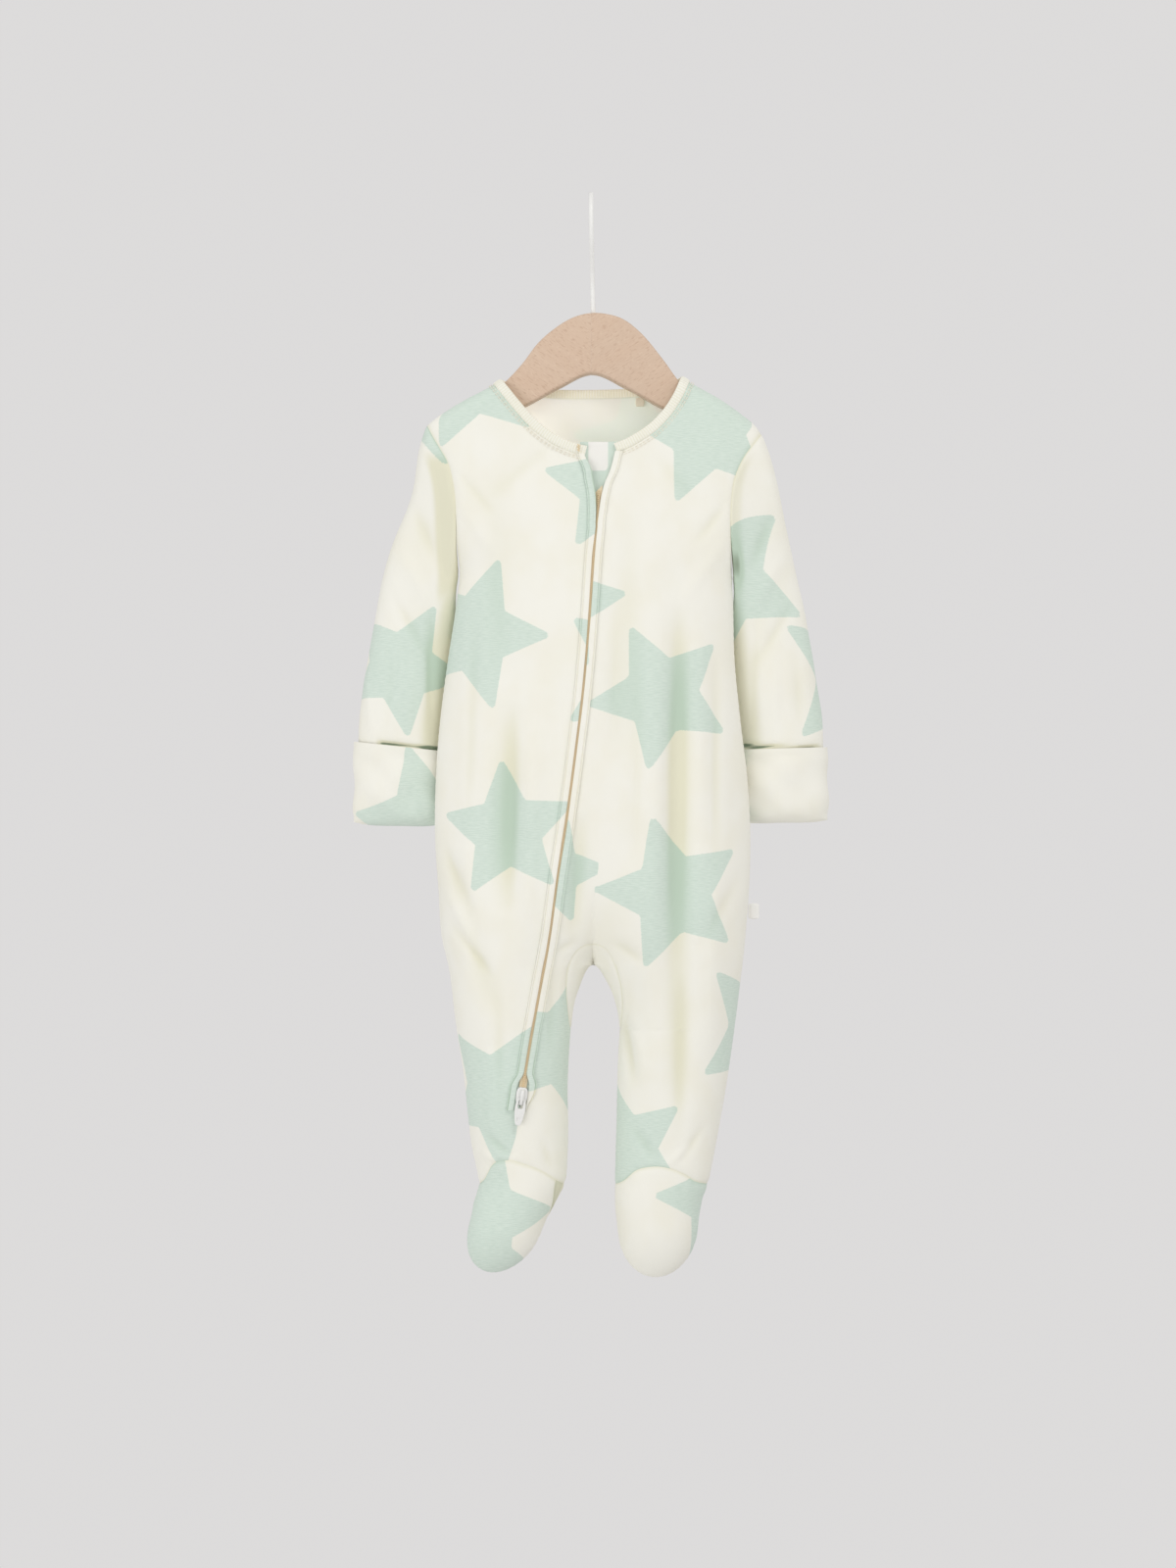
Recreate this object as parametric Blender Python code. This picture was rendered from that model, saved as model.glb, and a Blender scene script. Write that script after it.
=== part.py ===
"""Footed baby sleepsuit in printed cotton, zipped from the neck to one ankle, on a small wooden hanger.

The suit hangs as one hollow shell. Its skin stands off the plane y = 0 by a depth that the tables below give for the
front and the back; the panels are cut out of that skin along seam lines, with a small gap at every seam. The origin is
the inner top of the hook, where it sits on a rail. +X is the viewer's right, -Y the front, +Z up. Left and right are
named as seen from the front. All the sizes here are in millimetres; the meshes are made in metres.
"""
import math

import bmesh
import bpy
import numpy as np

MILLIMETRE = 0.001

# driving sizes
CLOTH = 1.5
SEAM_GAP = 0.3
CROTCH_Z = -470.7
GUSSET_TOP_Z = -456.9
GUSSET_END_Z = -508.0
VALLEY_TOP_Z = -395.0
ARMPIT_LEFT_Z = -230.7
ARMPIT_RIGHT_Z = -233.7
YOKE_Z = -190.0
ANKLE_Z = -604.5
ANKLE_BEND_Z = -566.0
BACK_ANKLE_LIFT = 8.0
SOLE_WIDEST_Z = -629.7
TOE_LENGTH_LEFT = 29.4
TOE_LENGTH_RIGHT = 32.4
SHOULDER_ROLL = 9.0
SHOULDER_TIP_LEFT = (-102.0, -139.6)
SHOULDER_TIP_RIGHT = (103.5, -145.0)
NECK_POINT_LEFT_X = -60.6
NECK_POINT_RIGHT_X = 58.8
NECK_END_LEFT = (-4.8, -158.9)
NECK_END_RIGHT = (14.5, -157.0)
NECKBAND_START_X = -5.0
SPLIT_TOP_X = 24.0
ARMHOLE_BLEND = 0.4

ZIP_V_Z = -183.0
ZIP_END_Z = -552.0
ZIP_HALF_GAP = 2.5
ZIP_CLOSING_Z = -557.0
ZIP_CLOSING_LENGTH = 11.0
CHAIN_HALF_WIDTH = 2.1
CHAIN_TOP_Z = -181.0
BAND_WIDTH = 4.6
BAND_WALL = 1.2
BAND_SLIT = 1.1
BAND_TOP_LEFT_Z = -160.4
BAND_TOP_RIGHT_Z = -159.0
BAND_FLARE = 3.7
FLARE_TOP_Z = -531.0
FLARE_LENGTH = 11.0
FLARE_ROWS = (-534.0, -538.0, -542.0, -546.0)
BAND_END_Z = -556.0
CHAIN_SINK = 0.5
CHAIN_WALL = 1.2
GUARD_Z = (-152.0, -192.0)
GUARD_LEFT_X = (-7.0, -2.0)
GUARD_RIGHT_X = (18.0, 10.0)

CUFF_WALL = 1.6
CUFF_CLEARANCE = 0.7
CUFF_CLOSED_HALF = 2.1

LOOP_Z = (-121.8, -127.2)
LOOP_X = (26.4, 31.8)

LABEL_Z = -437.7
LABEL_HEIGHT = 9.6
LABEL_LENGTH = 6.6
LABEL_WALL = 1.0

HANGER_THICKNESS = 11.0
HANGER_MITRE_X = -1.2
HOOK_WIRE = 3.0
HOOK_INNER_RADIUS = 15.0
HOOK_FOOT_Z = -71.0
HOOK_X = 0.2
HOOK_LEAN = -1.4
HOOK_BEND_Z = -58.0
HOOK_BEND_LENGTH = 40.0
HOOK_TURN = 205.0
HANGER_ROUNDING = 2.2
ARM_THINNING = 2.2
THINNING_START_X = 45.0
THINNING_LENGTH = 40.0

SLIDER_Z = -549.0
SLIDER_LOW = 0.35
SLIDER_HIGH = 2.6
BRIDGE_HALF_WIDTH = 1.0
BRIDGE_UNDER = 4.5
BRIDGE_TOP = 5.5
HINGE_DOWN = 1.2
HINGE_OUT = 3.55
PULL_BAR = 1.0
PULL_LENGTH = 16.5
PULL_SLOT = 6.2


def table(names, rows):
    """A table's columns by name, in the order of its first column."""
    columns = np.array(sorted(rows), float).T
    return dict(zip(names.split(), columns))


# outer edge of the suit, down both sides; above the armpit it runs on inside the sleeve
SIDE_LEFT = table("z x", [
    (-105.0, -106.0), (-142.0, -106.5), (-160.0, -105.0), (-185.0, -100.0), (-210.0, -91.0), (-230.7, -81.9),
    (-242.1, -83.0), (-284.7, -89.3), (-326.1, -94.4), (-365.1, -96.8), (-395.7, -96.8), (-423.3, -94.9),
    (-454.5, -92.6), (-472.5, -88.4), (-506.7, -84.2), (-538.5, -79.4), (-566.1, -76.4), (-579.9, -74.8),
    (-596.1, -71.4), (-604.5, -70.0), (-614.1, -72.6), (-629.7, -75.9), (-647.1, -80.7), (-660.0, -84.3)])
SIDE_RIGHT = table("z x", [
    (-105.0, 108.0), (-148.0, 108.5), (-165.0, 107.0), (-188.0, 102.0), (-212.0, 94.0), (-233.7, 85.8),
    (-250.0, 86.3), (-279.9, 86.9), (-318.9, 90.4), (-359.1, 95.2), (-395.7, 96.8), (-422.7, 96.0),
    (-455.7, 93.4), (-483.3, 90.2), (-517.5, 86.0), (-545.1, 81.9), (-572.7, 77.1), (-589.5, 73.8),
    (-604.5, 70.6), (-614.1, 67.2), (-629.7, 64.8), (-647.0, 64.1), (-663.0, 63.0)])

# inner edge of each leg and foot, by the square root of the drop below the crotch, which rounds the arch
INSEAM_LEFT = table("root x", [
    (0.0, 0.0), (3.55, -7.9), (4.96, -11.6), (6.10, -13.2), (8.59, -15.2), (10.82, -15.4), (11.57, -17.2),
    (11.98, -21.6), (12.61, -29.7), (13.28, -34.5), (13.76, -38.1)])
INSEAM_RIGHT = table("root x", [
    (0.0, 0.0), (2.68, 6.8), (4.58, 13.2), (6.10, 16.2), (7.22, 15.4), (10.82, 13.7), (11.57, 13.3),
    (12.26, 13.8), (12.61, 14.7), (13.28, 14.4), (13.86, 13.8)])

# seam of the gusset on the front and the back, by the square root of the drop below its top
GUSSET_LEFT = table("root x", [
    (0.0, 0.0), (1.73, -9.0), (3.19, -13.8), (4.31, -15.4), (5.37, -15.9), (6.41, -14.8), (7.15, -13.6)])
GUSSET_RIGHT = table("root x", [
    (0.0, 0.0), (1.61, 8.0), (3.79, 13.6), (5.31, 16.8), (6.33, 17.4), (7.15, 16.6)])

# how far the skin stands off the middle plane at its fullest
DEPTH = table("z front back", [
    (-105.0, 11.5, 11.0), (-130.0, 13.5, 12.5), (-153.0, 16.5, 14.5), (-200.0, 23.0, 19.0), (-260.0, 29.0, 24.0),
    (-330.0, 33.0, 29.0), (-395.0, 35.0, 33.0), (-440.0, 33.5, 33.0), (-470.0, 30.0, 31.0), (-500.0, 27.0, 28.0),
    (-545.0, 24.0, 24.0), (-590.0, 21.0, 22.0), (-612.0, 20.5, 28.0), (-630.0, 20.0, 25.5), (-645.0, 18.5, 19.0),
    (-663.0, 17.0, 15.0)])

SHOULDER_LINE = table("x z", [
    (-107.0, -144.5), SHOULDER_TIP_LEFT, (-96.0, -134.9), (-80.0, -124.5), (-60.6, -114.3), (-40.0, -104.0),
    (0.0, -92.0), (40.0, -102.0), (58.8, -112.5), (73.0, -120.3), (90.0, -131.7), (101.4, -142.0),
    SHOULDER_TIP_RIGHT, (109.0, -153.0)])
ARMHOLE_LEFT = table("z x", [
    (-139.6, -102.0), (-145.0, -99.4), (-153.9, -94.2), (-162.3, -89.4), (-174.0, -86.0), (-183.9, -84.6),
    (-200.0, -83.8), (-215.7, -83.2), (-230.7, -81.9)])
ARMHOLE_RIGHT = table("z x", [
    (-145.0, 103.5), (-152.0, 98.0), (-160.0, 92.4), (-168.0, 88.4), (-175.0, 86.2), (-185.0, 84.8),
    (-200.0, 84.3), (-215.7, 84.7), (-233.7, 85.8)])

NECK_FRONT = table("x z", [
    (-60.6, -114.3), (-49.8, -128.1), (-39.0, -140.4), (-25.8, -150.9), (-14.4, -156.3), NECK_END_LEFT,
    NECK_END_RIGHT, (21.0, -154.6), (28.2, -150.6), (41.4, -140.7), (49.8, -130.5), (55.2, -121.0), (58.8, -112.5)])
NECK_BACK = table("x z", [
    (-60.6, -114.3), (-50.0, -118.8), (-30.0, -121.4), (0.0, -122.0), (30.0, -120.6), (50.0, -117.4),
    (58.8, -112.5)])

# line of the zip, and of the seam below it
ZIP_LINE = table("z x", [
    (-150.0, 1.5), (-183.0, 3.4), (-220.5, 0.4), (-261.9, -2.4), (-299.7, -5.6), (-340.0, -10.4),
    (-375.3, -15.1), (-415.0, -21.2), (-455.7, -27.1), (-485.0, -32.6), (-512.7, -37.6), (-542.7, -42.4),
    (-565.0, -45.6), (-604.5, -50.2)])
ZIP_V_LEFT = table("z x", [(-159.0, -4.8), (-170.0, -2.0), (-177.0, 0.2), (-183.0, 0.9)])
ZIP_V_RIGHT = table("z x", [(-159.0, 14.2), (-170.0, 10.4), (-177.0, 7.6), (-183.0, 5.9)])

# lift of the ankle seam over the foot, across a leg from its outer edge (0) to its inner edge (1)
CAP_LIFT_LEFT = table("across lift", [
    (0.0, 0.0), (0.07, 4.0), (0.15, 12.0), (0.28, 15.6), (0.53, 13.6), (0.77, 8.2), (0.90, 3.4), (1.0, 0.0)])
CAP_LIFT_RIGHT = table("across lift", [
    (0.0, 0.0), (0.13, 2.4), (0.27, 7.4), (0.49, 12.0), (0.63, 12.0), (0.79, 9.2), (0.91, 3.0), (1.0, 0.0)])

# soft folds of the body: a trough where the depth is below zero, a ridge where it is above, as shares of DEPTH
FOLDS_FRONT = [
    # top x, top z, bottom x, bottom z, half width, depth
    (52.0, -250.0, 50.0, -560.0, 9.0, -0.10),
    (36.0, -270.0, 34.0, -540.0, 9.0, 0.06),
    (76.0, -290.0, 72.0, -530.0, 8.0, 0.09),
    (-51.0, -310.0, -55.0, -440.0, 9.0, -0.09),
    (-74.0, -290.0, -76.0, -470.0, 8.0, 0.08),
    (-34.0, -300.0, -40.0, -470.0, 8.0, 0.05),
    (-7.0, -378.0, -12.0, -454.0, 5.5, -0.09),
    (-88.0, -400.0, -60.0, -500.0, 6.0, -0.07),
    (-60.0, -520.0, -62.0, -590.0, 6.0, 0.08),
    (-60.0, -160.0, -56.0, -300.0, 10.0, -0.05),
    (24.0, -180.0, 20.0, -360.0, 8.0, -0.05),
]
FOLDS_BACK = [
    (0.0, -150.0, 0.0, -400.0, 10.0, -0.07),
    (-36.0, -200.0, -44.0, -460.0, 10.0, 0.06),
    (38.0, -220.0, 42.0, -500.0, 11.0, -0.08),
    (64.0, -260.0, 62.0, -540.0, 8.0, 0.08),
    (-68.0, -280.0, -66.0, -520.0, 9.0, -0.09),
    (20.0, -300.0, 30.0, -440.0, 9.0, 0.05),
]
FRONT = -1.0
BACK = 1.0

# outer and inner edges of the sleeves, from the armhole to the end inside the cuff
SLEEVE_LEFT = table("along outer_x outer_z inner_x inner_z depth shift", [
    (0.00, -102.0, -139.6, -82.3, -231.0, 12.0, 0.0),
    (0.08, -106.4, -155.0, -83.9, -240.0, 12.5, 2.5),
    (0.20, -111.4, -181.0, -84.6, -253.0, 13.0, 7.0),
    (0.36, -124.0, -214.0, -85.4, -270.0, 13.5, 12.0),
    (0.54, -132.6, -249.0, -87.4, -289.0, 13.5, 14.0),
    (0.72, -139.2, -284.7, -91.0, -309.0, 13.0, 14.0),
    (0.88, -144.2, -319.0, -93.2, -329.0, 11.6, 14.0),
    (1.00, -145.2, -346.0, -93.6, -346.0, 11.2, 14.0)])
SLEEVE_RIGHT = table("along outer_x outer_z inner_x inner_z depth shift", [
    (0.00, 103.5, -145.0, 86.2, -234.0, 12.0, 0.0),
    (0.08, 109.0, -160.0, 86.9, -243.0, 12.5, 2.5),
    (0.20, 115.6, -186.0, 85.4, -256.0, 13.0, 7.0),
    (0.36, 122.6, -217.0, 84.4, -272.0, 13.5, 12.0),
    (0.54, 130.2, -253.0, 85.0, -291.0, 13.5, 14.0),
    (0.72, 137.2, -290.0, 88.0, -310.0, 13.0, 14.0),
    (0.88, 141.8, -320.0, 91.2, -329.0, 11.6, 14.0),
    (1.00, 142.4, -346.0, 92.2, -346.0, 11.2, 14.0)])
CUFF_BOTTOM_LEFT = table("across z", [(0.0, -380.5), (0.12, -383.4), (0.5, -385.6), (0.9, -384.8), (1.0, -383.0)])
CUFF_BOTTOM_RIGHT = table("across z", [(0.0, -380.5), (0.12, -382.4), (0.5, -383.6), (0.9, -383.4), (1.0, -381.6)])
CUFF_MOUTH_LEFT_Z = (-333.6, -339.6)
CUFF_MOUTH_RIGHT_Z = (-337.0, -338.6)

# section of the neckband: up from the seam, and out from the skin
NECKBAND_SECTION = np.array([
    (0.7, 0.0), (1.2, 0.5), (3.3, 0.5), (4.4, 0.1), (4.7, -0.6), (4.4, -1.3), (3.3, -1.7), (1.2, -1.7), (0.7, -1.4)])

# the hanger's upper and lower edges
HANGER_TOP = table("x z", [
    (-93.0, -139.6), (-80.0, -129.6), (-60.6, -119.4), (-53.6, -113.4), (-42.8, -101.8), (-34.3, -90.5),
    (-23.6, -80.9), (-12.0, -74.0), (-1.2, -71.3), (9.0, -72.0), (18.2, -74.9), (30.0, -84.1), (42.8, -99.6),
    (54.1, -114.6), (60.0, -119.6), (73.0, -126.4), (88.0, -136.4), (94.0, -141.6)])
HANGER_BOTTOM = table("x z", [
    (-93.0, -148.4), (-80.0, -144.0), (-60.0, -136.0), (-40.8, -128.3), (-20.0, -117.0), (-0.6, -108.8),
    (20.0, -117.4), (41.3, -129.1), (60.0, -137.0), (80.0, -146.0), (94.0, -151.0)])
HANGER_TIP_X = 89.0

CREAM = (0.90, 0.88, 0.79)
MINT = (0.62, 0.76, 0.68)
BEECH = (0.66, 0.47, 0.32)
WHITE_PAINT = (0.88, 0.88, 0.86)
ZIP_TAPE = (0.72, 0.58, 0.40)
ZIP_METAL = (0.86, 0.87, 0.87)


def smooth(at, knots, values):
    """Values on a smooth curve through the knots: cubic spans whose slopes come from the neighbouring knots."""
    slopes = np.gradient(values, knots)
    at = np.asarray(at, float)
    span = np.clip(np.searchsorted(knots, at) - 1, 0, len(knots) - 2)
    length = knots[span + 1] - knots[span]
    t = np.clip((at - knots[span]) / length, 0.0, 1.0)
    start = (1 + 2 * t) * (1 - t) ** 2 * values[span] + t * (1 - t) ** 2 * length * slopes[span]
    end = t * t * (3 - 2 * t) * values[span + 1] - t * t * (1 - t) * length * slopes[span + 1]
    return start + end


def smoothstep(value):
    value = np.clip(value, 0.0, 1.0)
    return value * value * (3.0 - 2.0 * value)


def read(columns, name, at):
    """A table's column, read smoothly at places along its first column."""
    return smooth(at, next(iter(columns.values())), columns[name])


def inseam(z, left):
    """Inner edge of a leg; the middle of the body above the crotch."""
    root = np.sqrt(np.clip(CROTCH_Z - np.asarray(z, float), 0.0, None))
    return read(INSEAM_LEFT if left else INSEAM_RIGHT, "x", root)


def gusset_seam(z, left):
    root = np.sqrt(np.clip(GUSSET_TOP_Z - np.asarray(z, float), 0.0, None))
    return read(GUSSET_LEFT if left else GUSSET_RIGHT, "x", root)


def side(z, left):
    return read(SIDE_LEFT if left else SIDE_RIGHT, "x", z)


def merging(z):
    """How far the body's section has split into two legs: 0 above the valley, 1 at the crotch and below."""
    return np.clip((VALLEY_TOP_Z - z) / (VALLEY_TOP_Z - CROTCH_Z), 0.0, 1.0)


def fold_relief(x, z, folds):
    """Sum of soft ridges and troughs, each fading across its width and towards its two ends."""
    relief = np.zeros(np.broadcast(x, z).shape)
    for top_x, top_z, bottom_x, bottom_z, half_width, depth in folds:
        along = (top_z - z) / (top_z - bottom_z)
        middle = top_x + (bottom_x - top_x) * along
        fade = np.clip(4.0 * along * (1.0 - along), 0.0, None)
        relief = relief + depth * fade ** 0.7 * np.exp(-((x - middle) / half_width) ** 2)
    return relief


def depth_squared(x, z, face):
    """Square of the skin's distance from the middle plane at (x, z), which falls below zero outside the outline.

    The section from a side to the middle is part of an ellipse: a quarter in the body, a half in a leg. It is
    rolled over at the shoulders, closed at the toes, and folded in share of its depth.
    """
    total = np.zeros(np.broadcast(x, z).shape)
    split = 1.0 + merging(z)
    for left in (True, False):
        outer = side(z, left)
        across = (x - outer) / (inseam(z, left) - outer)
        cosine = 1.0 - across * split
        toe = np.clip((SOLE_WIDEST_Z - z) / (TOE_LENGTH_LEFT if left else TOE_LENGTH_RIGHT), 0.0, None)
        half = 1.0 - cosine ** 2 - toe ** 2
        total = np.where((x < 0.0) == left, half, total)
    drop = read(SHOULDER_LINE, "z", x) - z
    roll = 1.0 - np.clip(1.0 - drop / SHOULDER_ROLL, 0.0, None) ** 2
    depth = read(DEPTH, "front" if face == FRONT else "back", z)
    folds = FOLDS_FRONT if face == FRONT else FOLDS_BACK
    return depth ** 2 * total * roll * (1.0 + fold_relief(x, z, folds)) ** 2


def skin(x, z, face, moved=0.0):
    """Points of the skin at (x, z) and their outward normals; moved shifts them out along the normals."""
    x, z = np.broadcast_arrays(np.asarray(x, float), np.asarray(z, float))
    square = depth_squared(x, z, face)
    y = face * np.maximum(np.sqrt(np.clip(square, 0.0, None)), SEAM_GAP / 2)
    step = 0.2
    slope_x = (depth_squared(x + step, z, face) - depth_squared(x - step, z, face)) / (2 * step)
    slope_z = (depth_squared(x, z + step, face) - depth_squared(x, z - step, face)) / (2 * step)
    normal_y = np.where(square > (SEAM_GAP / 2) ** 2, 2.0 * y, 0.0)
    normals = np.stack([-slope_x, normal_y, -slope_z], axis=-1)
    normals = normals / np.linalg.norm(normals, axis=-1, keepdims=True)
    return np.stack([x, y, z], axis=-1) + moved * normals, normals


def section_angle(x, z, left):
    """Angle of a point round its section: 0 at the side, more towards the middle or the inner leg."""
    outer = side(z, left)
    across = (x - outer) / (inseam(z, left) - outer)
    return np.arccos(np.clip(1.0 - across * (1.0 + merging(z)), -1.0, 1.0))


def across_section(x_from, x_to, z, left, columns):
    """Places from one x to another along a section, spaced evenly by angle."""
    angle = np.linspace(section_angle(x_from, z, left), section_angle(x_to, z, left), columns + 1)
    outer = side(z, left)
    x = outer + (inseam(z, left) - outer) * (1.0 - np.cos(angle)) / (1.0 + merging(z))
    x[0], x[-1] = x_from, x_to
    return x


def coons(top, bottom, start, end):
    """Grid of (x, z) between four edges: straight blends of the opposite edges, less that of the corners."""
    t = np.linspace(0.0, 1.0, len(start))[:, None, None]
    c = np.linspace(0.0, 1.0, len(top))[None, :, None]
    between_rows = (1 - t) * top[None] + t * bottom[None]
    between_columns = (1 - c) * start[:, None] + c * end[:, None]
    corners = ((1 - t) * ((1 - c) * top[0] + c * top[-1]) + t * ((1 - c) * bottom[0] + c * bottom[-1]))
    return between_rows + between_columns - corners


def eased(count, power=1.7):
    return np.linspace(0.0, 1.0, count + 1) ** power


# meshes

def grid_faces(rows, columns, wrap=False):
    """Quads of a grid of rows and columns of points; wrap joins its last column to its first."""
    index = np.arange(rows * columns).reshape(rows, columns)
    if wrap:
        index = np.concatenate([index, index[:, :1]], axis=1)
    quads = np.stack([index[:-1, :-1], index[:-1, 1:], index[1:, 1:], index[1:, :-1]], axis=-1)
    return quads.reshape(-1, 4)


def joined(patches):
    """One set of points, normals and quads from several grids, whose shared points become one."""
    points, normals, quads = [], [], []
    count = 0
    for patch_points, patch_normals in patches:
        rows, columns = patch_points.shape[:2]
        quads.append(grid_faces(rows, columns) + count)
        points.append(patch_points.reshape(-1, 3))
        normals.append(patch_normals.reshape(-1, 3))
        count += rows * columns
    points, normals, quads = np.concatenate(points), np.concatenate(normals), np.concatenate(quads)
    _, first, index = np.unique(np.round(points, 3), axis=0, return_index=True, return_inverse=True)
    return points[first], normals[first], index.reshape(-1)[quads]


def wall(points, normals, quads, thickness):
    """Closed wall: the outer skin, the same skin moved in along its normals, and a rim along each open edge."""
    faces = [tuple(dict.fromkeys(quad)) for quad in quads.tolist()]
    faces = [face for face in faces if len(face) > 2]
    outward = []
    for face in faces:
        corners = points[list(face)]
        area = np.cross(corners[2] - corners[0], corners[-1] - corners[1])
        outward.append(face if area @ normals[list(face)].sum(axis=0) > 0 else face[::-1])
    edges = {(a, b) for face in outward for a, b in zip(face, face[1:] + face[:1])}
    count = len(points)
    closed = outward + [tuple(count + corner for corner in reversed(face)) for face in outward]
    closed += [(b, a, a + count, b + count) for a, b in sorted(edges) if (b, a) not in edges]
    return np.concatenate([points, points - thickness * normals]), closed


def material(name, colour, roughness, metallic=0.0):
    made = bpy.data.materials.new(name)
    made.use_nodes = True
    shader = made.node_tree.nodes["Principled BSDF"]
    shader.inputs["Base Color"].default_value = (*colour, 1.0)
    shader.inputs["Roughness"].default_value = roughness
    shader.inputs["Metallic"].default_value = metallic
    return made


def solid(name, points, faces, made_of, sharp_angle=40.0):
    """An object from points in millimetres and faces that close round them."""
    mesh = bpy.data.meshes.new(name)
    mesh.from_pydata((np.asarray(points) * MILLIMETRE).tolist(), [], [tuple(face) for face in faces])
    mesh.update()
    mesh.shade_smooth()
    mesh.set_sharp_from_angle(angle=math.radians(sharp_angle))
    mesh.materials.append(made_of)
    made = bpy.data.objects.new(name, mesh)
    bpy.context.scene.collection.objects.link(made)
    return made


def cloth(name, patches, made_of, thickness=CLOTH):
    return solid(name, *wall(*joined(patches), thickness), made_of)


# seam lines of the front

def zip_half_gap(z):
    """Half the distance between the two panels along the zip; they close to a plain seam below it."""
    closing = np.clip((ZIP_CLOSING_Z - z) / ZIP_CLOSING_LENGTH, 0.0, 1.0)
    return ZIP_HALF_GAP + (SEAM_GAP / 2 - ZIP_HALF_GAP) * closing


def zip_edge(z, left):
    """Edge of a front panel along the zip: a V at the top, then half the gap to its side of the zip's line."""
    sign = -1.0 if left else 1.0
    below = read(ZIP_LINE, "x", z) + sign * zip_half_gap(z)
    above = read(ZIP_V_LEFT if left else ZIP_V_RIGHT, "x", z)
    return np.where(z > ZIP_V_Z, above, below)


def split_line(z):
    """Where the front right panel parts into its strip on the left leg and its right leg, drawn up to the neck."""
    return SPLIT_TOP_X * np.clip((z - GUSSET_TOP_Z) / (YOKE_Z - GUSSET_TOP_Z), 0.0, 1.0)


def cap_lift(across, left):
    return read(CAP_LIFT_LEFT if left else CAP_LIFT_RIGHT, "lift", across)


def lifted(x, z, left, face):
    """Height of a row that bends up to the seam over the foot as it nears the ankle."""
    outer = side(z, left)
    across = np.clip((x - outer) / (inseam(z, left) - outer), 0.0, 1.0)
    share = np.clip((ANKLE_BEND_Z - z) / (ANKLE_BEND_Z - ANKLE_Z), 0.0, 1.0) ** 2
    if face == FRONT:
        return z + share * cap_lift(across, left)
    return z + share * BACK_ANKLE_LIFT * np.sin(math.pi * across)


# heights of the panels' rows of points; the armpit's own height takes the place of the left one on the right
TORSO_ROWS = [YOKE_Z, -210.0, ARMPIT_LEFT_Z, -258.0, -290.0, -322.0, -354.0, -386.0, -412.0, -436.0, GUSSET_TOP_Z]
GUSSET_ROWS = [-457.8, -460.5, -466.0, -475.0, -487.0, -498.0, GUSSET_END_Z]
SHIN_ROWS = [-508.7, -528.0, -545.0, -557.0, -568.0, -588.0, ANKLE_Z + SEAM_GAP / 2]
YOKE_ROWS = 7
SIDE_COLUMNS = 9
STRIP_COLUMNS = 4


def armhole_x(z, left):
    return read(ARMHOLE_LEFT if left else ARMHOLE_RIGHT, "x", z)


def panel_side(z, left):
    """Side edge of the body's panels: the armhole down to the armpit, then the side seam."""
    armpit = ARMPIT_LEFT_Z if left else ARMPIT_RIGHT_Z
    return armhole_x(z, left) if z > armpit else side(z, left)


def armhole_rows(left):
    """Heights of the panels' points down the armhole."""
    tip = (SHOULDER_TIP_LEFT if left else SHOULDER_TIP_RIGHT)[1]
    yoke = tip + (YOKE_Z - tip) * eased(YOKE_ROWS)
    armpit = ARMPIT_LEFT_Z if left else ARMPIT_RIGHT_Z
    return np.array([*yoke, TORSO_ROWS[1], armpit])


def torso_rows(left):
    return [z if left or z != ARMPIT_LEFT_Z else ARMPIT_RIGHT_Z for z in TORSO_ROWS]


def yoke_top(left, face, x_end, shoulder_columns, neck_columns):
    """Top edge of a panel, from the shoulder's tip along the shoulder and down the neck to x_end."""
    tip = (SHOULDER_TIP_LEFT if left else SHOULDER_TIP_RIGHT)[0]
    neck_point = NECK_POINT_LEFT_X if left else NECK_POINT_RIGHT_X
    neck = NECK_FRONT if face == FRONT else NECK_BACK
    shoulder_x = np.linspace(tip, neck_point, shoulder_columns + 1)
    neck_x = neck_point + (x_end - neck_point) * eased(neck_columns, 1.5)[1:]
    shoulder = np.stack([shoulder_x, read(SHOULDER_LINE, "z", shoulder_x)], axis=-1)
    return np.concatenate([shoulder, np.stack([neck_x, read(neck, "z", neck_x)], axis=-1)])


def yoke(left, face, top, bottom_x, end_x):
    """Patch from the shoulder and neck down to the yoke's line; end_x gives its edge towards the middle."""
    start_z = armhole_rows(left)[:YOKE_ROWS + 1]
    start = np.stack([armhole_x(start_z, left), start_z], axis=-1)
    end_z = top[-1, 1] + (YOKE_Z - top[-1, 1]) * eased(YOKE_ROWS, 1.2)
    end = np.stack([end_x(end_z), end_z], axis=-1)
    end[0] = top[-1]
    bottom = np.stack([bottom_x, np.full(len(bottom_x), YOKE_Z)], axis=-1)
    return coons(top, bottom, start, end)


def skin_rows(rows_x, rows_z, face):
    return skin(np.array(rows_x), np.array(rows_z), face)


def front_left():
    rows_x, rows_z = [], []
    for z in torso_rows(True) + GUSSET_ROWS + SHIN_ROWS:
        x = across_section(panel_side(z, True), float(zip_edge(z, True)), z, True, SIDE_COLUMNS)
        rows_x.append(x)
        rows_z.append(lifted(x, z, True, FRONT))
    top = yoke_top(True, FRONT, NECK_END_LEFT[0], 3, SIDE_COLUMNS - 3)
    upper = yoke(True, FRONT, top, rows_x[0], lambda z: zip_edge(z, True))
    rows_x = [*upper[:-1, :, 0], *rows_x]
    rows_z = [*upper[:-1, :, 1], *rows_z]
    return [skin_rows(rows_x, rows_z, FRONT)]


def inner_edge(z, left):
    """Where a leg's panel ends towards the inner leg: the gusset's seam, and the inseam below the gusset."""
    return float(gusset_seam(z, left)) if z >= GUSSET_END_Z else float(inseam(z, left))


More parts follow.
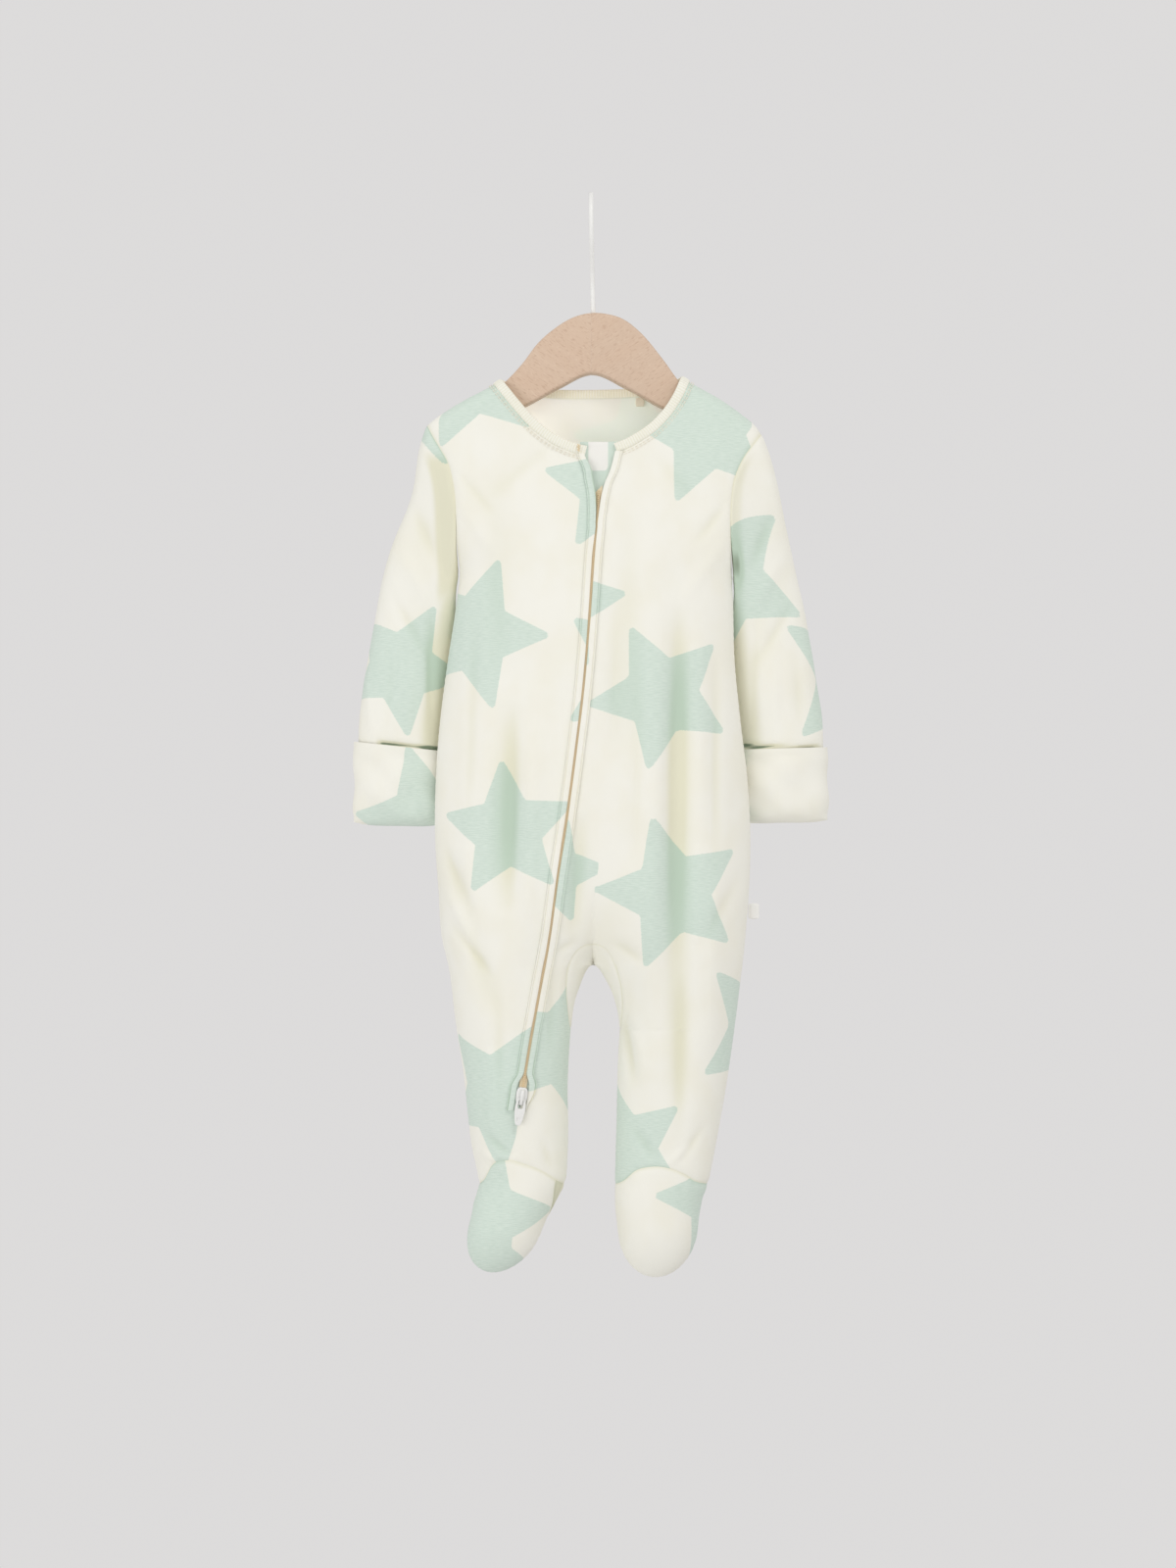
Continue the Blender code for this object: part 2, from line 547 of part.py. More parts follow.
def band_inner(z, left):
    """Inner edge of a zip band: near the zip's line, along the V at the top, and round the slider at the foot."""
    sign = -1.0 if left else 1.0
    flare = BAND_FLARE * smoothstep((FLARE_TOP_Z - z) / FLARE_LENGTH)
    below = read(ZIP_LINE, "x", z) + sign * (BAND_SLIT / 2 + flare)
    above = zip_edge(z, left) - sign * (ZIP_HALF_GAP - BAND_SLIT / 2)
    return np.where(z > ZIP_V_Z, above, below)


def strip_places(z, end, closer):
    """Places from the strip's inner end to the zip's edge, the last but one under the zip band's outer edge.

    In the leg, where closer is true, they lie closer together at the inner end.
    """
    turn = np.linspace(0.0, math.pi / 2, STRIP_COLUMNS)
    share = 1.0 - np.cos(turn) if closer else np.linspace(0.0, 1.0, STRIP_COLUMNS)
    under_band = float(band_inner(z, False)) + BAND_WIDTH
    return np.append(end + (under_band - end) * share, float(zip_edge(z, False)))


def front_right():
    """The body right of the zip with its right leg, and the strip of the left leg between zip and inner seam."""
    body_x, body_z, strip_x, strip_z = [], [], [], []
    for z in torso_rows(False) + GUSSET_ROWS + SHIN_ROWS:
        below = z < GUSSET_TOP_Z
        start = inner_edge(z, False) if below else float(split_line(z))
        x = across_section(panel_side(z, False), start, z, False, SIDE_COLUMNS)
        body_x.append(x)
        body_z.append(lifted(x, z, False, FRONT))
        end = inner_edge(z, True) if below else float(split_line(z))
        x = strip_places(z, end, below)
        strip_x.append(x)
        strip_z.append(lifted(x, z, True, FRONT) if below else np.full(len(x), z))
    top = yoke_top(False, FRONT, NECK_END_RIGHT[0], 3, SIDE_COLUMNS + STRIP_COLUMNS - 3)
    bottom_x = np.concatenate([body_x[0], strip_x[0][1:]])
    upper = yoke(False, FRONT, top, bottom_x, lambda z: zip_edge(z, False))
    parting = SIDE_COLUMNS + 1
    body = skin_rows([*upper[:-1, :parting, 0], *body_x], [*upper[:-1, :parting, 1], *body_z], FRONT)
    strip = skin_rows([*upper[:-1, parting - 1:, 0], *strip_x], [*upper[:-1, parting - 1:, 1], *strip_z], FRONT)
    return [body, strip]


def back():
    patches = []
    for left in (True, False):
        rows_x, rows_z = [], []
        for z in torso_rows(left) + GUSSET_ROWS + SHIN_ROWS:
            end = inner_edge(z, left) if z < GUSSET_TOP_Z else 0.0
            x = across_section(panel_side(z, left), end, z, left, SIDE_COLUMNS)
            rows_x.append(x)
            rows_z.append(lifted(x, z, left, BACK))
        top = yoke_top(left, BACK, 0.0, 3, SIDE_COLUMNS - 3)
        upper = yoke(left, BACK, top, rows_x[0], lambda z: np.zeros(len(z)))
        patches.append(skin_rows([*upper[:-1, :, 0], *rows_x], [*upper[:-1, :, 1], *rows_z], BACK))
    # the armpits lie at two heights, so the middle of the body takes the left one
    middle = slice(0, YOKE_ROWS + len(TORSO_ROWS))
    for right, left in zip(patches[1], patches[0]):
        right[middle, -1] = left[middle, -1]
    return patches


def gusset():
    """Strip round the inner legs and the crotch: across it, from its front seam round the inner edge to the back."""
    columns = 5
    turn = np.sin(np.linspace(0.0, math.pi / 2, columns + 1))
    rows_points, rows_normals = [], []
    heights = [GUSSET_END_Z + 0.6, *GUSSET_ROWS[-2::-1]]
    places = [(z, True) for z in heights] + [(GUSSET_TOP_Z, True)] + [(z, False) for z in reversed(heights)]
    for z, left in places:
        share = (GUSSET_TOP_Z - z) / (GUSSET_TOP_Z - GUSSET_END_Z)
        edge_z = z + (CROTCH_Z - GUSSET_TOP_Z) * (1.0 - share) ** 1.3
        seam = np.array([float(gusset_seam(z, left)), z])
        edge = np.array([float(inseam(edge_z, left)), edge_z])
        start = seam + (edge - seam) * SEAM_GAP / np.linalg.norm(edge - seam)
        across = start + (edge - start) * turn[:, None]
        front = skin(across[:, 0], across[:, 1], FRONT)
        rear = skin(across[::-1, 0], across[::-1, 1], BACK)
        points = np.concatenate([front[0], rear[0][1:]])
        normals = np.concatenate([front[1], rear[1][1:]])
        points[columns, 1] = 0.0
        rows_points.append(points)
        rows_normals.append(normals)
    return [(np.array(rows_points), np.array(rows_normals))]


def ankle_angles(left, face):
    """Angles round the ankle of the points that end the panels, which the foot's pieces take up."""
    if not left or face == BACK:
        return np.linspace(0.0, math.pi, SIDE_COLUMNS + 1)
    strip_angles = section_angle(strip_places(ANKLE_Z, float(inseam(ANKLE_Z, True)), True), ANKLE_Z, True)
    return np.concatenate([np.linspace(0.0, strip_angles[-1], SIDE_COLUMNS + 1), strip_angles[-2::-1]])


def foot(left, face):
    """Toe cap or sole: from the ankle seam to the toe, where the rows close to a point."""
    rows = 10
    angle = ankle_angles(left, face)
    length = TOE_LENGTH_LEFT if left else TOE_LENGTH_RIGHT
    start = ANKLE_Z - SEAM_GAP / 2
    upper = np.linspace(start, SOLE_WIDEST_Z, 4)[:-1]
    lower = SOLE_WIDEST_Z - length * np.sin(np.linspace(0.0, math.pi / 2, rows - 2))
    lower[-1] = SOLE_WIDEST_Z - length
    rows_x, rows_z = [], []
    for z in [*upper, *lower]:
        toe = np.clip((SOLE_WIDEST_Z - z) / length, 0.0, 1.0)
        narrowing = math.sqrt(max(0.0, 1.0 - toe ** 2))
        outer, inner = side(z, left), inseam(z, left)
        middle = (outer + inner) / 2
        x = middle + (outer - inner) / 2 * np.cos(angle) * narrowing
        across = (1.0 - np.cos(angle)) / 2
        share = np.clip((z - SOLE_WIDEST_Z) / (start - SOLE_WIDEST_Z), 0.0, 1.0)
        lift = cap_lift(across, left) if face == FRONT else BACK_ANKLE_LIFT * np.sin(math.pi * across)
        rows_x.append(x)
        rows_z.append(z + share * lift)
    return [skin_rows(rows_x, rows_z, face)]


def turned(points, centre_of_rings):
    """Outward normals of a tube given as rings of points, from the differences along and round it."""
    around = np.roll(points, -1, axis=1) - np.roll(points, 1, axis=1)
    along = np.gradient(points, axis=0)
    normals = np.cross(around, along)
    outward = points - centre_of_rings[:, None]
    normals *= np.sign((normals * outward).sum(axis=(1, 2)))[:, None, None]
    return normals / np.linalg.norm(normals, axis=-1, keepdims=True)


def armhole_loop(left):
    """Closed row of points round the armhole and the skin's normals there: down the front, up the back."""
    z = armhole_rows(left)
    x = armhole_x(z, left)
    front, front_normals = skin(x, z, FRONT)
    rear, rear_normals = skin(x[-2:0:-1], z[-2:0:-1], BACK)
    front[[0, -1], 1] = 0.0
    return np.concatenate([front, rear]), np.concatenate([front_normals, rear_normals])


def sleeve(left):
    """Tube from the armhole to the end inside the cuff.

    Each ring stands on a chord from the outer to the inner edge. A point keeps its share of the chord; its depth
    goes over from the armhole's to an ellipse's, and the rings shift back to hang behind the body's side.
    """
    columns = SLEEVE_LEFT if left else SLEEVE_RIGHT
    loop, skin_normals = armhole_loop(left)
    armpit = len(armhole_rows(left)) - 1
    outer, inner = loop[0, [0, 2]], loop[armpit, [0, 2]]
    chord = inner - outer
    span = np.linalg.norm(chord)
    offset = loop[:, [0, 2]] - outer
    share = offset @ chord / span ** 2
    bow = (offset[:, 0] * chord[1] - offset[:, 1] * chord[0]) / span
    face = np.where(np.arange(len(loop)) <= armpit, FRONT, BACK)
    angle = np.arccos(np.clip(1.0 - 2.0 * share, -1.0, 1.0))

    along = np.array([0.0, 0.05, 0.11, 0.19, 0.29, 0.41, 0.55, 0.70, 0.86, 1.0])
    ends = {name: read(columns, name, along) for name in columns if name != "along"}
    start = np.stack([ends["outer_x"], ends["outer_z"]], axis=-1)
    reach = np.stack([ends["inner_x"], ends["inner_z"]], axis=-1) - start
    length = np.linalg.norm(reach, axis=-1)
    square = np.stack([reach[:, 1], -reach[:, 0]], axis=-1) / length[:, None]
    into = smoothstep(along / ARMHOLE_BLEND)
    flat = (start[:, None] + share[None, :, None] * reach[:, None]
            + (bow * (1.0 - into)[:, None])[..., None] * square[:, None])
    ellipse = face * np.sin(angle) * ends["depth"][:, None]
    y = (1.0 - into)[:, None] * loop[:, 1] + into[:, None] * ellipse + ends["shift"][:, None]
    points = np.stack([flat[..., 0], y, flat[..., 1]], axis=-1)
    points[0] = loop

    normals = turned(points, points.mean(axis=1))
    tangent = np.roll(loop, -1, axis=0) - np.roll(loop, 1, axis=0)
    away = np.cross(tangent, skin_normals)
    away *= np.sign((away * (points[1] - loop)).sum())
    away /= np.linalg.norm(away, axis=-1, keepdims=True)
    away[armpit] = (0.0, 0.0, -1.0)
    points[0] = loop + 1.3 * SEAM_GAP * away
    excess = np.clip(((normals[0] - skin_normals) * away).sum(axis=-1, keepdims=True), 0.0, None)
    normals[0] -= excess * away
    normals[0] /= np.linalg.norm(normals[0], axis=-1, keepdims=True)
    return points, normals


def cuff(left):
    """Fold-over mitt: a flat pouch that is closed at the bottom, with its mouth round the sleeve's end."""
    columns = SLEEVE_LEFT if left else SLEEVE_RIGHT
    outer_x, inner_x = columns["outer_x"][-1], columns["inner_x"][-1]
    middle = (outer_x + inner_x) / 2
    half = (inner_x - outer_x) / 2
    mouth = CUFF_MOUTH_LEFT_Z if left else CUFF_MOUTH_RIGHT_Z
    bottom = CUFF_BOTTOM_LEFT if left else CUFF_BOTTOM_RIGHT
    around, rows = 20, 8
    angle = np.arange(around) * 2.0 * math.pi / around
    across = (1.0 - np.cos(angle)) / 2
    down = eased(rows, 0.8)
    skins = []
    for inset in (0.0, CUFF_WALL):
        reach = CUFF_CLEARANCE + CUFF_WALL - inset
        top_z = mouth[0] + (mouth[1] - mouth[0]) * across
        bottom_z = read(bottom, "z", across) + inset
        z = top_z + (bottom_z - top_z) * down[:, None]
        depth = columns["depth"][-1] + reach
        closing = np.maximum(np.sqrt(1.0 - np.clip(down, 0.0, 1.0) ** 5) * depth, CUFF_CLOSED_HALF - inset)
        x = middle - (half + math.copysign(reach, half)) * np.cos(angle) + 0.0 * z
        y = columns["shift"][-1] - closing[:, None] * np.sin(angle)
        skins.append(np.stack([x, y, z], axis=-1))
    points = np.concatenate([skins[0].reshape(-1, 3), skins[1].reshape(-1, 3)])
    count = (rows + 1) * around
    sides = grid_faces(rows + 1, around, wrap=True)
    faces = [tuple(face) for face in sides] + [tuple(face[::-1] + count) for face in sides]
    faces += [(i, (i + 1) % around, (i + 1) % around + count, i + count) for i in range(around)]
    for first in (rows * around, rows * around + count):
        ring = first + np.arange(around)
        for i in range(around // 2):
            quad = (ring[i], ring[i + 1], ring[(around - i - 1) % around], ring[(around - i) % around])
            faces.append(tuple(dict.fromkeys(int(corner) for corner in quad)))
    return points, faces


def neckband():
    """Rib binding round the neck, open at the zip: a rounded section carried along the neck's seam."""
    closing = np.sin(np.linspace(0.0, math.pi / 2, 12))
    left_x = NECKBAND_START_X + (NECK_POINT_LEFT_X - NECKBAND_START_X) * closing
    turn = np.linspace(0.0, math.pi, 17)
    back_x = NECK_POINT_LEFT_X + (NECK_POINT_RIGHT_X - NECK_POINT_LEFT_X) * (1 - np.cos(turn)) / 2
    right_x = NECK_END_RIGHT[0] + (NECK_POINT_RIGHT_X - NECK_END_RIGHT[0]) * closing[::-1]
    parts = [skin(left_x[:-1], read(NECK_FRONT, "z", left_x[:-1]), FRONT),
             skin(back_x, read(NECK_BACK, "z", back_x), BACK),
             skin(right_x[1:], read(NECK_FRONT, "z", right_x[1:]), FRONT)]
    seam = np.concatenate([points for points, _ in parts])
    normals = np.concatenate([normals for _, normals in parts])
    for corner in (len(left_x) - 1, len(left_x) + len(back_x) - 2):
        seam[corner, 1] = 0.0
    tangent = np.gradient(seam, axis=0)
    upward = np.cross(tangent, normals) * (1.0, 0.25, 1.0)
    upward /= np.linalg.norm(upward, axis=-1, keepdims=True)
    for _ in range(2):
        upward[1:-1] = (upward[:-2] + 2.0 * upward[1:-1] + upward[2:]) / 4.0
        normals[1:-1] = (normals[:-2] + 2.0 * normals[1:-1] + normals[2:]) / 4.0
    return seam, upward, normals, NECKBAND_SECTION


def swept(path, upward, outward, section):
    """Closed solid of a section, given as (up, out) corners, carried along a path."""
    rings = path[:, None] + section[:, 0, None] * upward[:, None] + section[:, 1, None] * outward[:, None]
    count, corners = rings.shape[:2]
    faces = [tuple(face) for face in grid_faces(count, corners, wrap=True)]
    faces += [tuple(range(corners)), tuple(range((count - 1) * corners, count * corners))]
    return rings.reshape(-1, 3), faces


def strip(x_from, x_to, z, columns, moved, face=FRONT):
    """Patch of the skin between two edges, moved out from it, or in where moved is below zero."""
    share = np.linspace(0.0, 1.0, columns + 1)
    x = x_from[:, None] + (x_to - x_from)[:, None] * share
    return [skin(x, np.broadcast_to(z[:, None], x.shape), face, moved)]


def zip_rows(left):
    """Heights of the front panels' points along the zip."""
    top = (NECK_END_LEFT if left else NECK_END_RIGHT)[1]
    return [*(top + (YOKE_Z - top) * eased(YOKE_ROWS, 1.2))[:-1], *TORSO_ROWS, *GUSSET_ROWS, *SHIN_ROWS]


def placket(left):
    sign = -1.0 if left else 1.0
    top = BAND_TOP_LEFT_Z if left else BAND_TOP_RIGHT_Z
    z = np.array([z for z in zip_rows(left) if z < top - 1.0 and z > FLARE_TOP_Z])
    z = np.concatenate([[top], z, FLARE_ROWS, [BAND_END_Z]])
    inner = band_inner(z, left)
    return strip(inner, inner + sign * BAND_WIDTH, z, 2, SEAM_GAP + BAND_WALL)


def zip_chain():
    between = [z for z in zip_rows(True) if CHAIN_TOP_Z - 1.0 > z > ZIP_END_Z]
    z = np.array([CHAIN_TOP_Z, *between, ZIP_END_Z])
    line = read(ZIP_LINE, "x", z)
    return strip(line - CHAIN_HALF_WIDTH, line + CHAIN_HALF_WIDTH, z, 2, -CHAIN_SINK)


def zip_guard():
    z, left_x, right_x = (np.linspace(*ends, 6) for ends in (GUARD_Z, GUARD_LEFT_X, GUARD_RIGHT_X))
    return strip(left_x, right_x, z, 4, -(CLOTH + 2 * SEAM_GAP))


def neck_loop():
    return strip(np.full(4, LOOP_X[0]), np.full(4, LOOP_X[1]), np.linspace(*LOOP_Z, 4), 2, -(CLOTH + SEAM_GAP), BACK)


def box(name, low, high, made_of):
    """Block between two corners."""
    corners = np.array([[(low, high)[i & 1][0], (low, high)[i >> 1 & 1][1], (low, high)[i >> 2][2]] for i in range(8)])
    faces = [(0, 2, 3, 1), (4, 5, 7, 6), (0, 1, 5, 4), (2, 6, 7, 3), (0, 4, 6, 2), (1, 3, 7, 5)]
    return solid(name, corners, faces, made_of)


def side_label(made_of):
    x = float(side(LABEL_Z, False)) + SEAM_GAP
    return box("side_label", (x, -LABEL_WALL / 2, LABEL_Z - LABEL_HEIGHT / 2),
               (x + LABEL_LENGTH, LABEL_WALL / 2, LABEL_Z + LABEL_HEIGHT / 2), made_of)


def slider_axes():
    """Point of the skin under the slider, and its axes: across the zip, down along it, and out of the cloth."""
    z = np.array([SLIDER_Z, SLIDER_Z - 4.0])
    x = read(ZIP_LINE, "x", z)
    (point, below), normals = skin(x, z, FRONT)
    out = normals.mean(axis=0)
    down = below - point
    down -= (down @ out) * out
    down /= np.linalg.norm(down)
    out /= np.linalg.norm(out)
    return point, np.cross(down, out), down, out


def placed(local):
    """Points given as (across, down, out) from the slider's place, in the suit's own axes."""
    point, across, down, out = slider_axes()
    local = np.asarray(local, float)
    return point + local[:, :1] * across + local[:, 1:2] * down + local[:, 2:] * out


def prism(outline, low, high):
    """Points and faces of an upright prism over an outline given as (across, down)."""
    count = len(outline)
    local = [(a, b, low) for a, b in outline] + [(a, b, high) for a, b in outline]
    faces = [tuple(range(count)), tuple(range(count, 2 * count))]
    faces += [(i, (i + 1) % count, (i + 1) % count + count, i + count) for i in range(count)]
    return local, faces


def recalculated(made, width=0.0, segments=2):
    """Turns an object's faces outwards, and rounds its edges where a width is given."""
    sheet = bmesh.new()
    sheet.from_mesh(made.data)
    bmesh.ops.recalc_face_normals(sheet, faces=sheet.faces)
    sheet.to_mesh(made.data)
    sheet.free()
    if width:
        bevel = made.modifiers.new("rounding", "BEVEL")
        bevel.width = width * MILLIMETRE
        bevel.segments = segments
        bevel.limit_method = "ANGLE"
        bevel.angle_limit = math.radians(35.0)
    return made


def zip_slider(made_of):
    """Tapered body with a bridge over it, which the pull's bar lies under."""
    body = [(-3.7, -4.6), (-2.4, -5.5), (2.4, -5.5), (3.7, -4.6), (3.2, 4.2), (2.2, 5.5), (-2.2, 5.5), (-3.2, 4.2)]
    local, faces = prism(body, SLIDER_LOW, SLIDER_HIGH)
    made = recalculated(solid("zip_slider", placed(local), faces, made_of), 0.35)
    root = SLIDER_HIGH - 0.6
    arch = [(-4.2, root), (-3.6, BRIDGE_TOP - 0.8), (-2.6, BRIDGE_TOP), (2.8, BRIDGE_TOP), (3.9, BRIDGE_TOP - 0.8),
            (4.6, root), (3.4, root), (2.6, BRIDGE_UNDER), (-2.2, BRIDGE_UNDER), (-3.0, root)]
    local = [(-BRIDGE_HALF_WIDTH, b, c) for b, c in arch] + [(BRIDGE_HALF_WIDTH, b, c) for b, c in arch]
    count = len(arch)
    faces = [tuple(range(count)), tuple(range(count, 2 * count))]
    faces += [(i, (i + 1) % count, (i + 1) % count + count, i + count) for i in range(count)]
    bridge = recalculated(solid("slider_bridge", placed(local), faces, made_of))
    bridge.hide_render = True
    bridge.display_type = "WIRE"
    union = made.modifiers.new("bridge", "BOOLEAN")
    union.operation = "UNION"
    union.object = bridge
    return made


def zip_pull(made_of):
    """Tapered tab whose slot leaves a bar at its top end, the hinge under the slider's bridge."""
    half = PULL_BAR / 2
    outer = [(-2.4, -half), (2.4, -half), (3.3, 5.2), (2.2, PULL_LENGTH), (-2.2, PULL_LENGTH), (-3.3, 5.2)]
    inner = [(-1.35, half), (1.35, half), (1.7, 4.4), (1.5, PULL_SLOT), (-1.5, PULL_SLOT), (-1.7, 4.4)]
    _, across, down, out = slider_axes()
    hinge = placed([(0.0, HINGE_DOWN, HINGE_OUT)])[0]
    local = [(a, b, c) for c in (-PULL_BAR / 2, PULL_BAR / 2) for a, b in outer + inner]
    points = [a * across + b * down + c * out for a, b, c in local]
    count = len(outer)
    faces = []
    for i in range(count):
        j = (i + 1) % count
        low_outer, low_inner, high = (i, j), (i + count, j + count), 2 * count
        faces.append((*low_outer, *reversed(low_inner)))
        faces.append(tuple(corner + high for corner in (*low_outer, *reversed(low_inner))))
        faces.append((i, j, j + high, i + high))
        faces.append((i + count, j + count, j + count + high, i + count + high))
    made = recalculated(solid("zip_pull", points, faces, made_of), 0.2)
    made.location = [value * MILLIMETRE for value in hinge]
    return made


def hanger_half(left, made_of):
    """Half of the hanger: its outline from the mitre to the arm's round tip, as thick as the board, with soft edges."""
    sign = -1.0 if left else 1.0
    start = HANGER_MITRE_X + sign * SEAM_GAP / 2
    x = np.linspace(start, sign * HANGER_TIP_X, 16)
    top, bottom = read(HANGER_TOP, "z", x), read(HANGER_BOTTOM, "z", x)
    middle, radius = (top[-1] + bottom[-1]) / 2, (top[-1] - bottom[-1]) / 2
    turn = np.linspace(0.0, math.pi, 7)[1:-1]
    tip = [(x[-1] + sign * 0.6 * radius * math.sin(a), middle + radius * math.cos(a)) for a in turn]
    outline = [*zip(x, top), *tip, *zip(x[::-1], bottom[::-1])]
    count = len(outline)
    thinning = [ARM_THINNING * smoothstep((abs(px) - THINNING_START_X) / THINNING_LENGTH) for px, _ in outline]
    points = [(px, face * (HANGER_THICKNESS / 2 - thin), pz)
              for face in (-1.0, 1.0) for (px, pz), thin in zip(outline, thinning)]
    faces = [tuple(range(count)), tuple(range(count, 2 * count))]
    faces += [(i, (i + 1) % count, (i + 1) % count + count, i + count) for i in range(count)]
    name = "hanger_left" if left else "hanger_right"
    return recalculated(solid(name, points, faces, made_of), HANGER_ROUNDING, 2)


def hook(made_of):
    """Wire hook: a shank that bends forward, then a round loop over the rail with its tip behind."""
    radius = HOOK_INNER_RADIUS + HOOK_WIRE / 2
    centre_z = -HOOK_INNER_RADIUS
    shank_z = np.linspace(HOOK_FOOT_Z, centre_z - 3.0, 11)
    shank_y = -radius * smoothstep((shank_z - HOOK_BEND_Z) / HOOK_BEND_LENGTH)
    turn = np.linspace(0.0, math.radians(HOOK_TURN), 17)
    y = np.concatenate([shank_y, -radius * np.cos(turn)])
    z = np.concatenate([shank_z, centre_z + radius * np.sin(turn)])
    x = HOOK_X + HOOK_LEAN * np.clip((z - HOOK_FOOT_Z) / 60.0, 0.0, 1.0)
    curve = bpy.data.curves.new("hook", "CURVE")
    curve.dimensions = "3D"
    curve.bevel_depth = HOOK_WIRE / 2 * MILLIMETRE
    curve.bevel_resolution = 2
    curve.use_fill_caps = True
    spline = curve.splines.new("POLY")
    spline.points.add(len(x) - 1)
    for point, place in zip(spline.points, np.stack([x, y, z], axis=-1) * MILLIMETRE):
        point.co = (*place, 1.0)
    curve.materials.append(made_of)
    made = bpy.data.objects.new("hook", curve)
    bpy.context.scene.collection.objects.link(made)
    return made


def main():
    for old in list(bpy.data.objects):
        bpy.data.objects.remove(old, do_unlink=True)
    printed = material("printed_cotton", CREAM, 0.9)
    plain = material("plain_rib", CREAM, 0.9)
    mint = material("mint_cotton", MINT, 0.9)
    beech = material("beech", BEECH, 0.6)
    paint = material("white_paint", WHITE_PAINT, 0.35)
    tape = material("zip_tape", ZIP_TAPE, 0.7)
    metal = material("zip_enamel", ZIP_METAL, 0.3)

    cloth("front_left", front_left(), printed)
    cloth("front_right", front_right(), mint)
    cloth("back", back(), printed)
    cloth("gusset", gusset(), printed)
    for left in (True, False):
        name = "left" if left else "right"
        cloth(f"toe_cap_{name}", foot(left, FRONT), mint)
        cloth(f"sole_{name}", foot(left, BACK), printed)
        points, normals = sleeve(left)
        quads = grid_faces(*points.shape[:2], wrap=True)
        tube = wall(points.reshape(-1, 3), normals.reshape(-1, 3), quads, CLOTH)
        solid(f"sleeve_{name}", *tube, printed)
        recalculated(solid(f"cuff_{name}", *cuff(left), plain))
        cloth(f"placket_{name}", placket(left), plain, BAND_WALL)
        hanger_half(left, beech)
    recalculated(solid("neckband", *swept(*neckband()), plain))
    cloth("zip_chain", zip_chain(), tape, CHAIN_WALL)
    cloth("zip_guard", zip_guard(), mint, BAND_WALL)
    cloth("neck_loop", neck_loop(), plain, BAND_WALL)
    recalculated(side_label(plain), 0.2)
    zip_slider(metal)
    zip_pull(metal)
    hook(paint)


main()
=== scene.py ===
"""Looks of a footed baby sleepsuit on its small beech hanger.

Each piece of cloth is a thin closed wall that stands on the suit's skin, drawn in along its seams and creased. A
print of large stars is charted in the flat sizes of each piece. The origin is the inner top of the hook. +X is the
viewer's right, -Y the front, +Z up. Sizes are in millimetres; the meshes are made in metres.
"""
import math

import bpy
import numpy as np
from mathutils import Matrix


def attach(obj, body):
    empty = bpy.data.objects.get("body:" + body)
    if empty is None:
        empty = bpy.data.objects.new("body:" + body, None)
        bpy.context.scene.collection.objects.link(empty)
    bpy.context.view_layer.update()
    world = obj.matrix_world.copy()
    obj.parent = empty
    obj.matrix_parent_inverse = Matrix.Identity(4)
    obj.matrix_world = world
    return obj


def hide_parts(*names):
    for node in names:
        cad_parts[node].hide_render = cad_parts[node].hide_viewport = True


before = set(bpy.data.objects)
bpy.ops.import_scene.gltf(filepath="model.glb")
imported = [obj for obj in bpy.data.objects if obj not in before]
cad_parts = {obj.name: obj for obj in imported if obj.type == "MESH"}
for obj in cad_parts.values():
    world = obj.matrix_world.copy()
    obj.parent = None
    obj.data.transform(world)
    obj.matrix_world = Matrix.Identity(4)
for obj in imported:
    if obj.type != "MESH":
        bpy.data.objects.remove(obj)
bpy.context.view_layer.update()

MILLIMETRE = 0.001
FRONT = -1.0
BACK = 1.0


def sides(left, right):
    """Two things looked up by left: True for the viewer's left, False for the right."""
    return {True: left, False: right}


def faces(front, back):
    """Two things looked up by face: FRONT or BACK."""
    return {FRONT: front, BACK: back}


def table(names, rows):
    """A table's columns by name, in the order of its first column."""
    return dict(zip(names.split(), np.array(sorted(rows), float).T))


def tables(names, left, right):
    """The same table for the left and the right."""
    return sides(table(names, left), table(names, right))


SIGN = sides(-1.0, 1.0)
FACE_NAME = faces("front", "back")

# driving sizes of the suit
CROTCH_Z = -470.7
GUSSET_TOP_Z = -456.9
GUSSET_END_Z = -508.0
GUSSET_LAP = 5.0
VALLEY_TOP_Z = -395.0
SPLIT_EASING = 0.24
CROTCH_SOFTNESS = 3.0
CROTCH_EDGE = 9.0
ARMPIT_Z = sides(-230.7, -233.7)
YOKE_Z = -190.0
ANKLE_Z = -604.5
ANKLE_BEND_Z = -566.0
BACK_ANKLE_LIFT = 8.0
SOLE_WIDEST_Z = -629.7
TOE_LENGTH = sides(29.4, 32.4)
HEEL_TURN = sides(0.62, 0.0)
HEEL_END_Z = -630.0
SHOULDER_ROLL = 9.0
SHOULDER_TIP = sides((-102.0, -139.6), (103.5, -145.0))
NECK_POINT_X = sides(-60.6, 58.8)
NECK_END = sides((-4.8, -158.9), (14.5, -157.0))
SPLIT_TOP_X = 24.0
ARMHOLE_BLEND = 0.4
SLEEVE_BESIDE_Z = -152.0
GUSSET_UNDER = 0.8
FOOT_CELL = 1.8
SLEEVE_CREASE_FULL = 1.6
MITT_LENGTH = 46.0
MITT_LIP = 0.5
MOUTH_DRAW = 1.2
LEG_SEAM_START = 14.0
LEG_SEAM_CALM = 6.0
SLOPE_STEP = 0.2

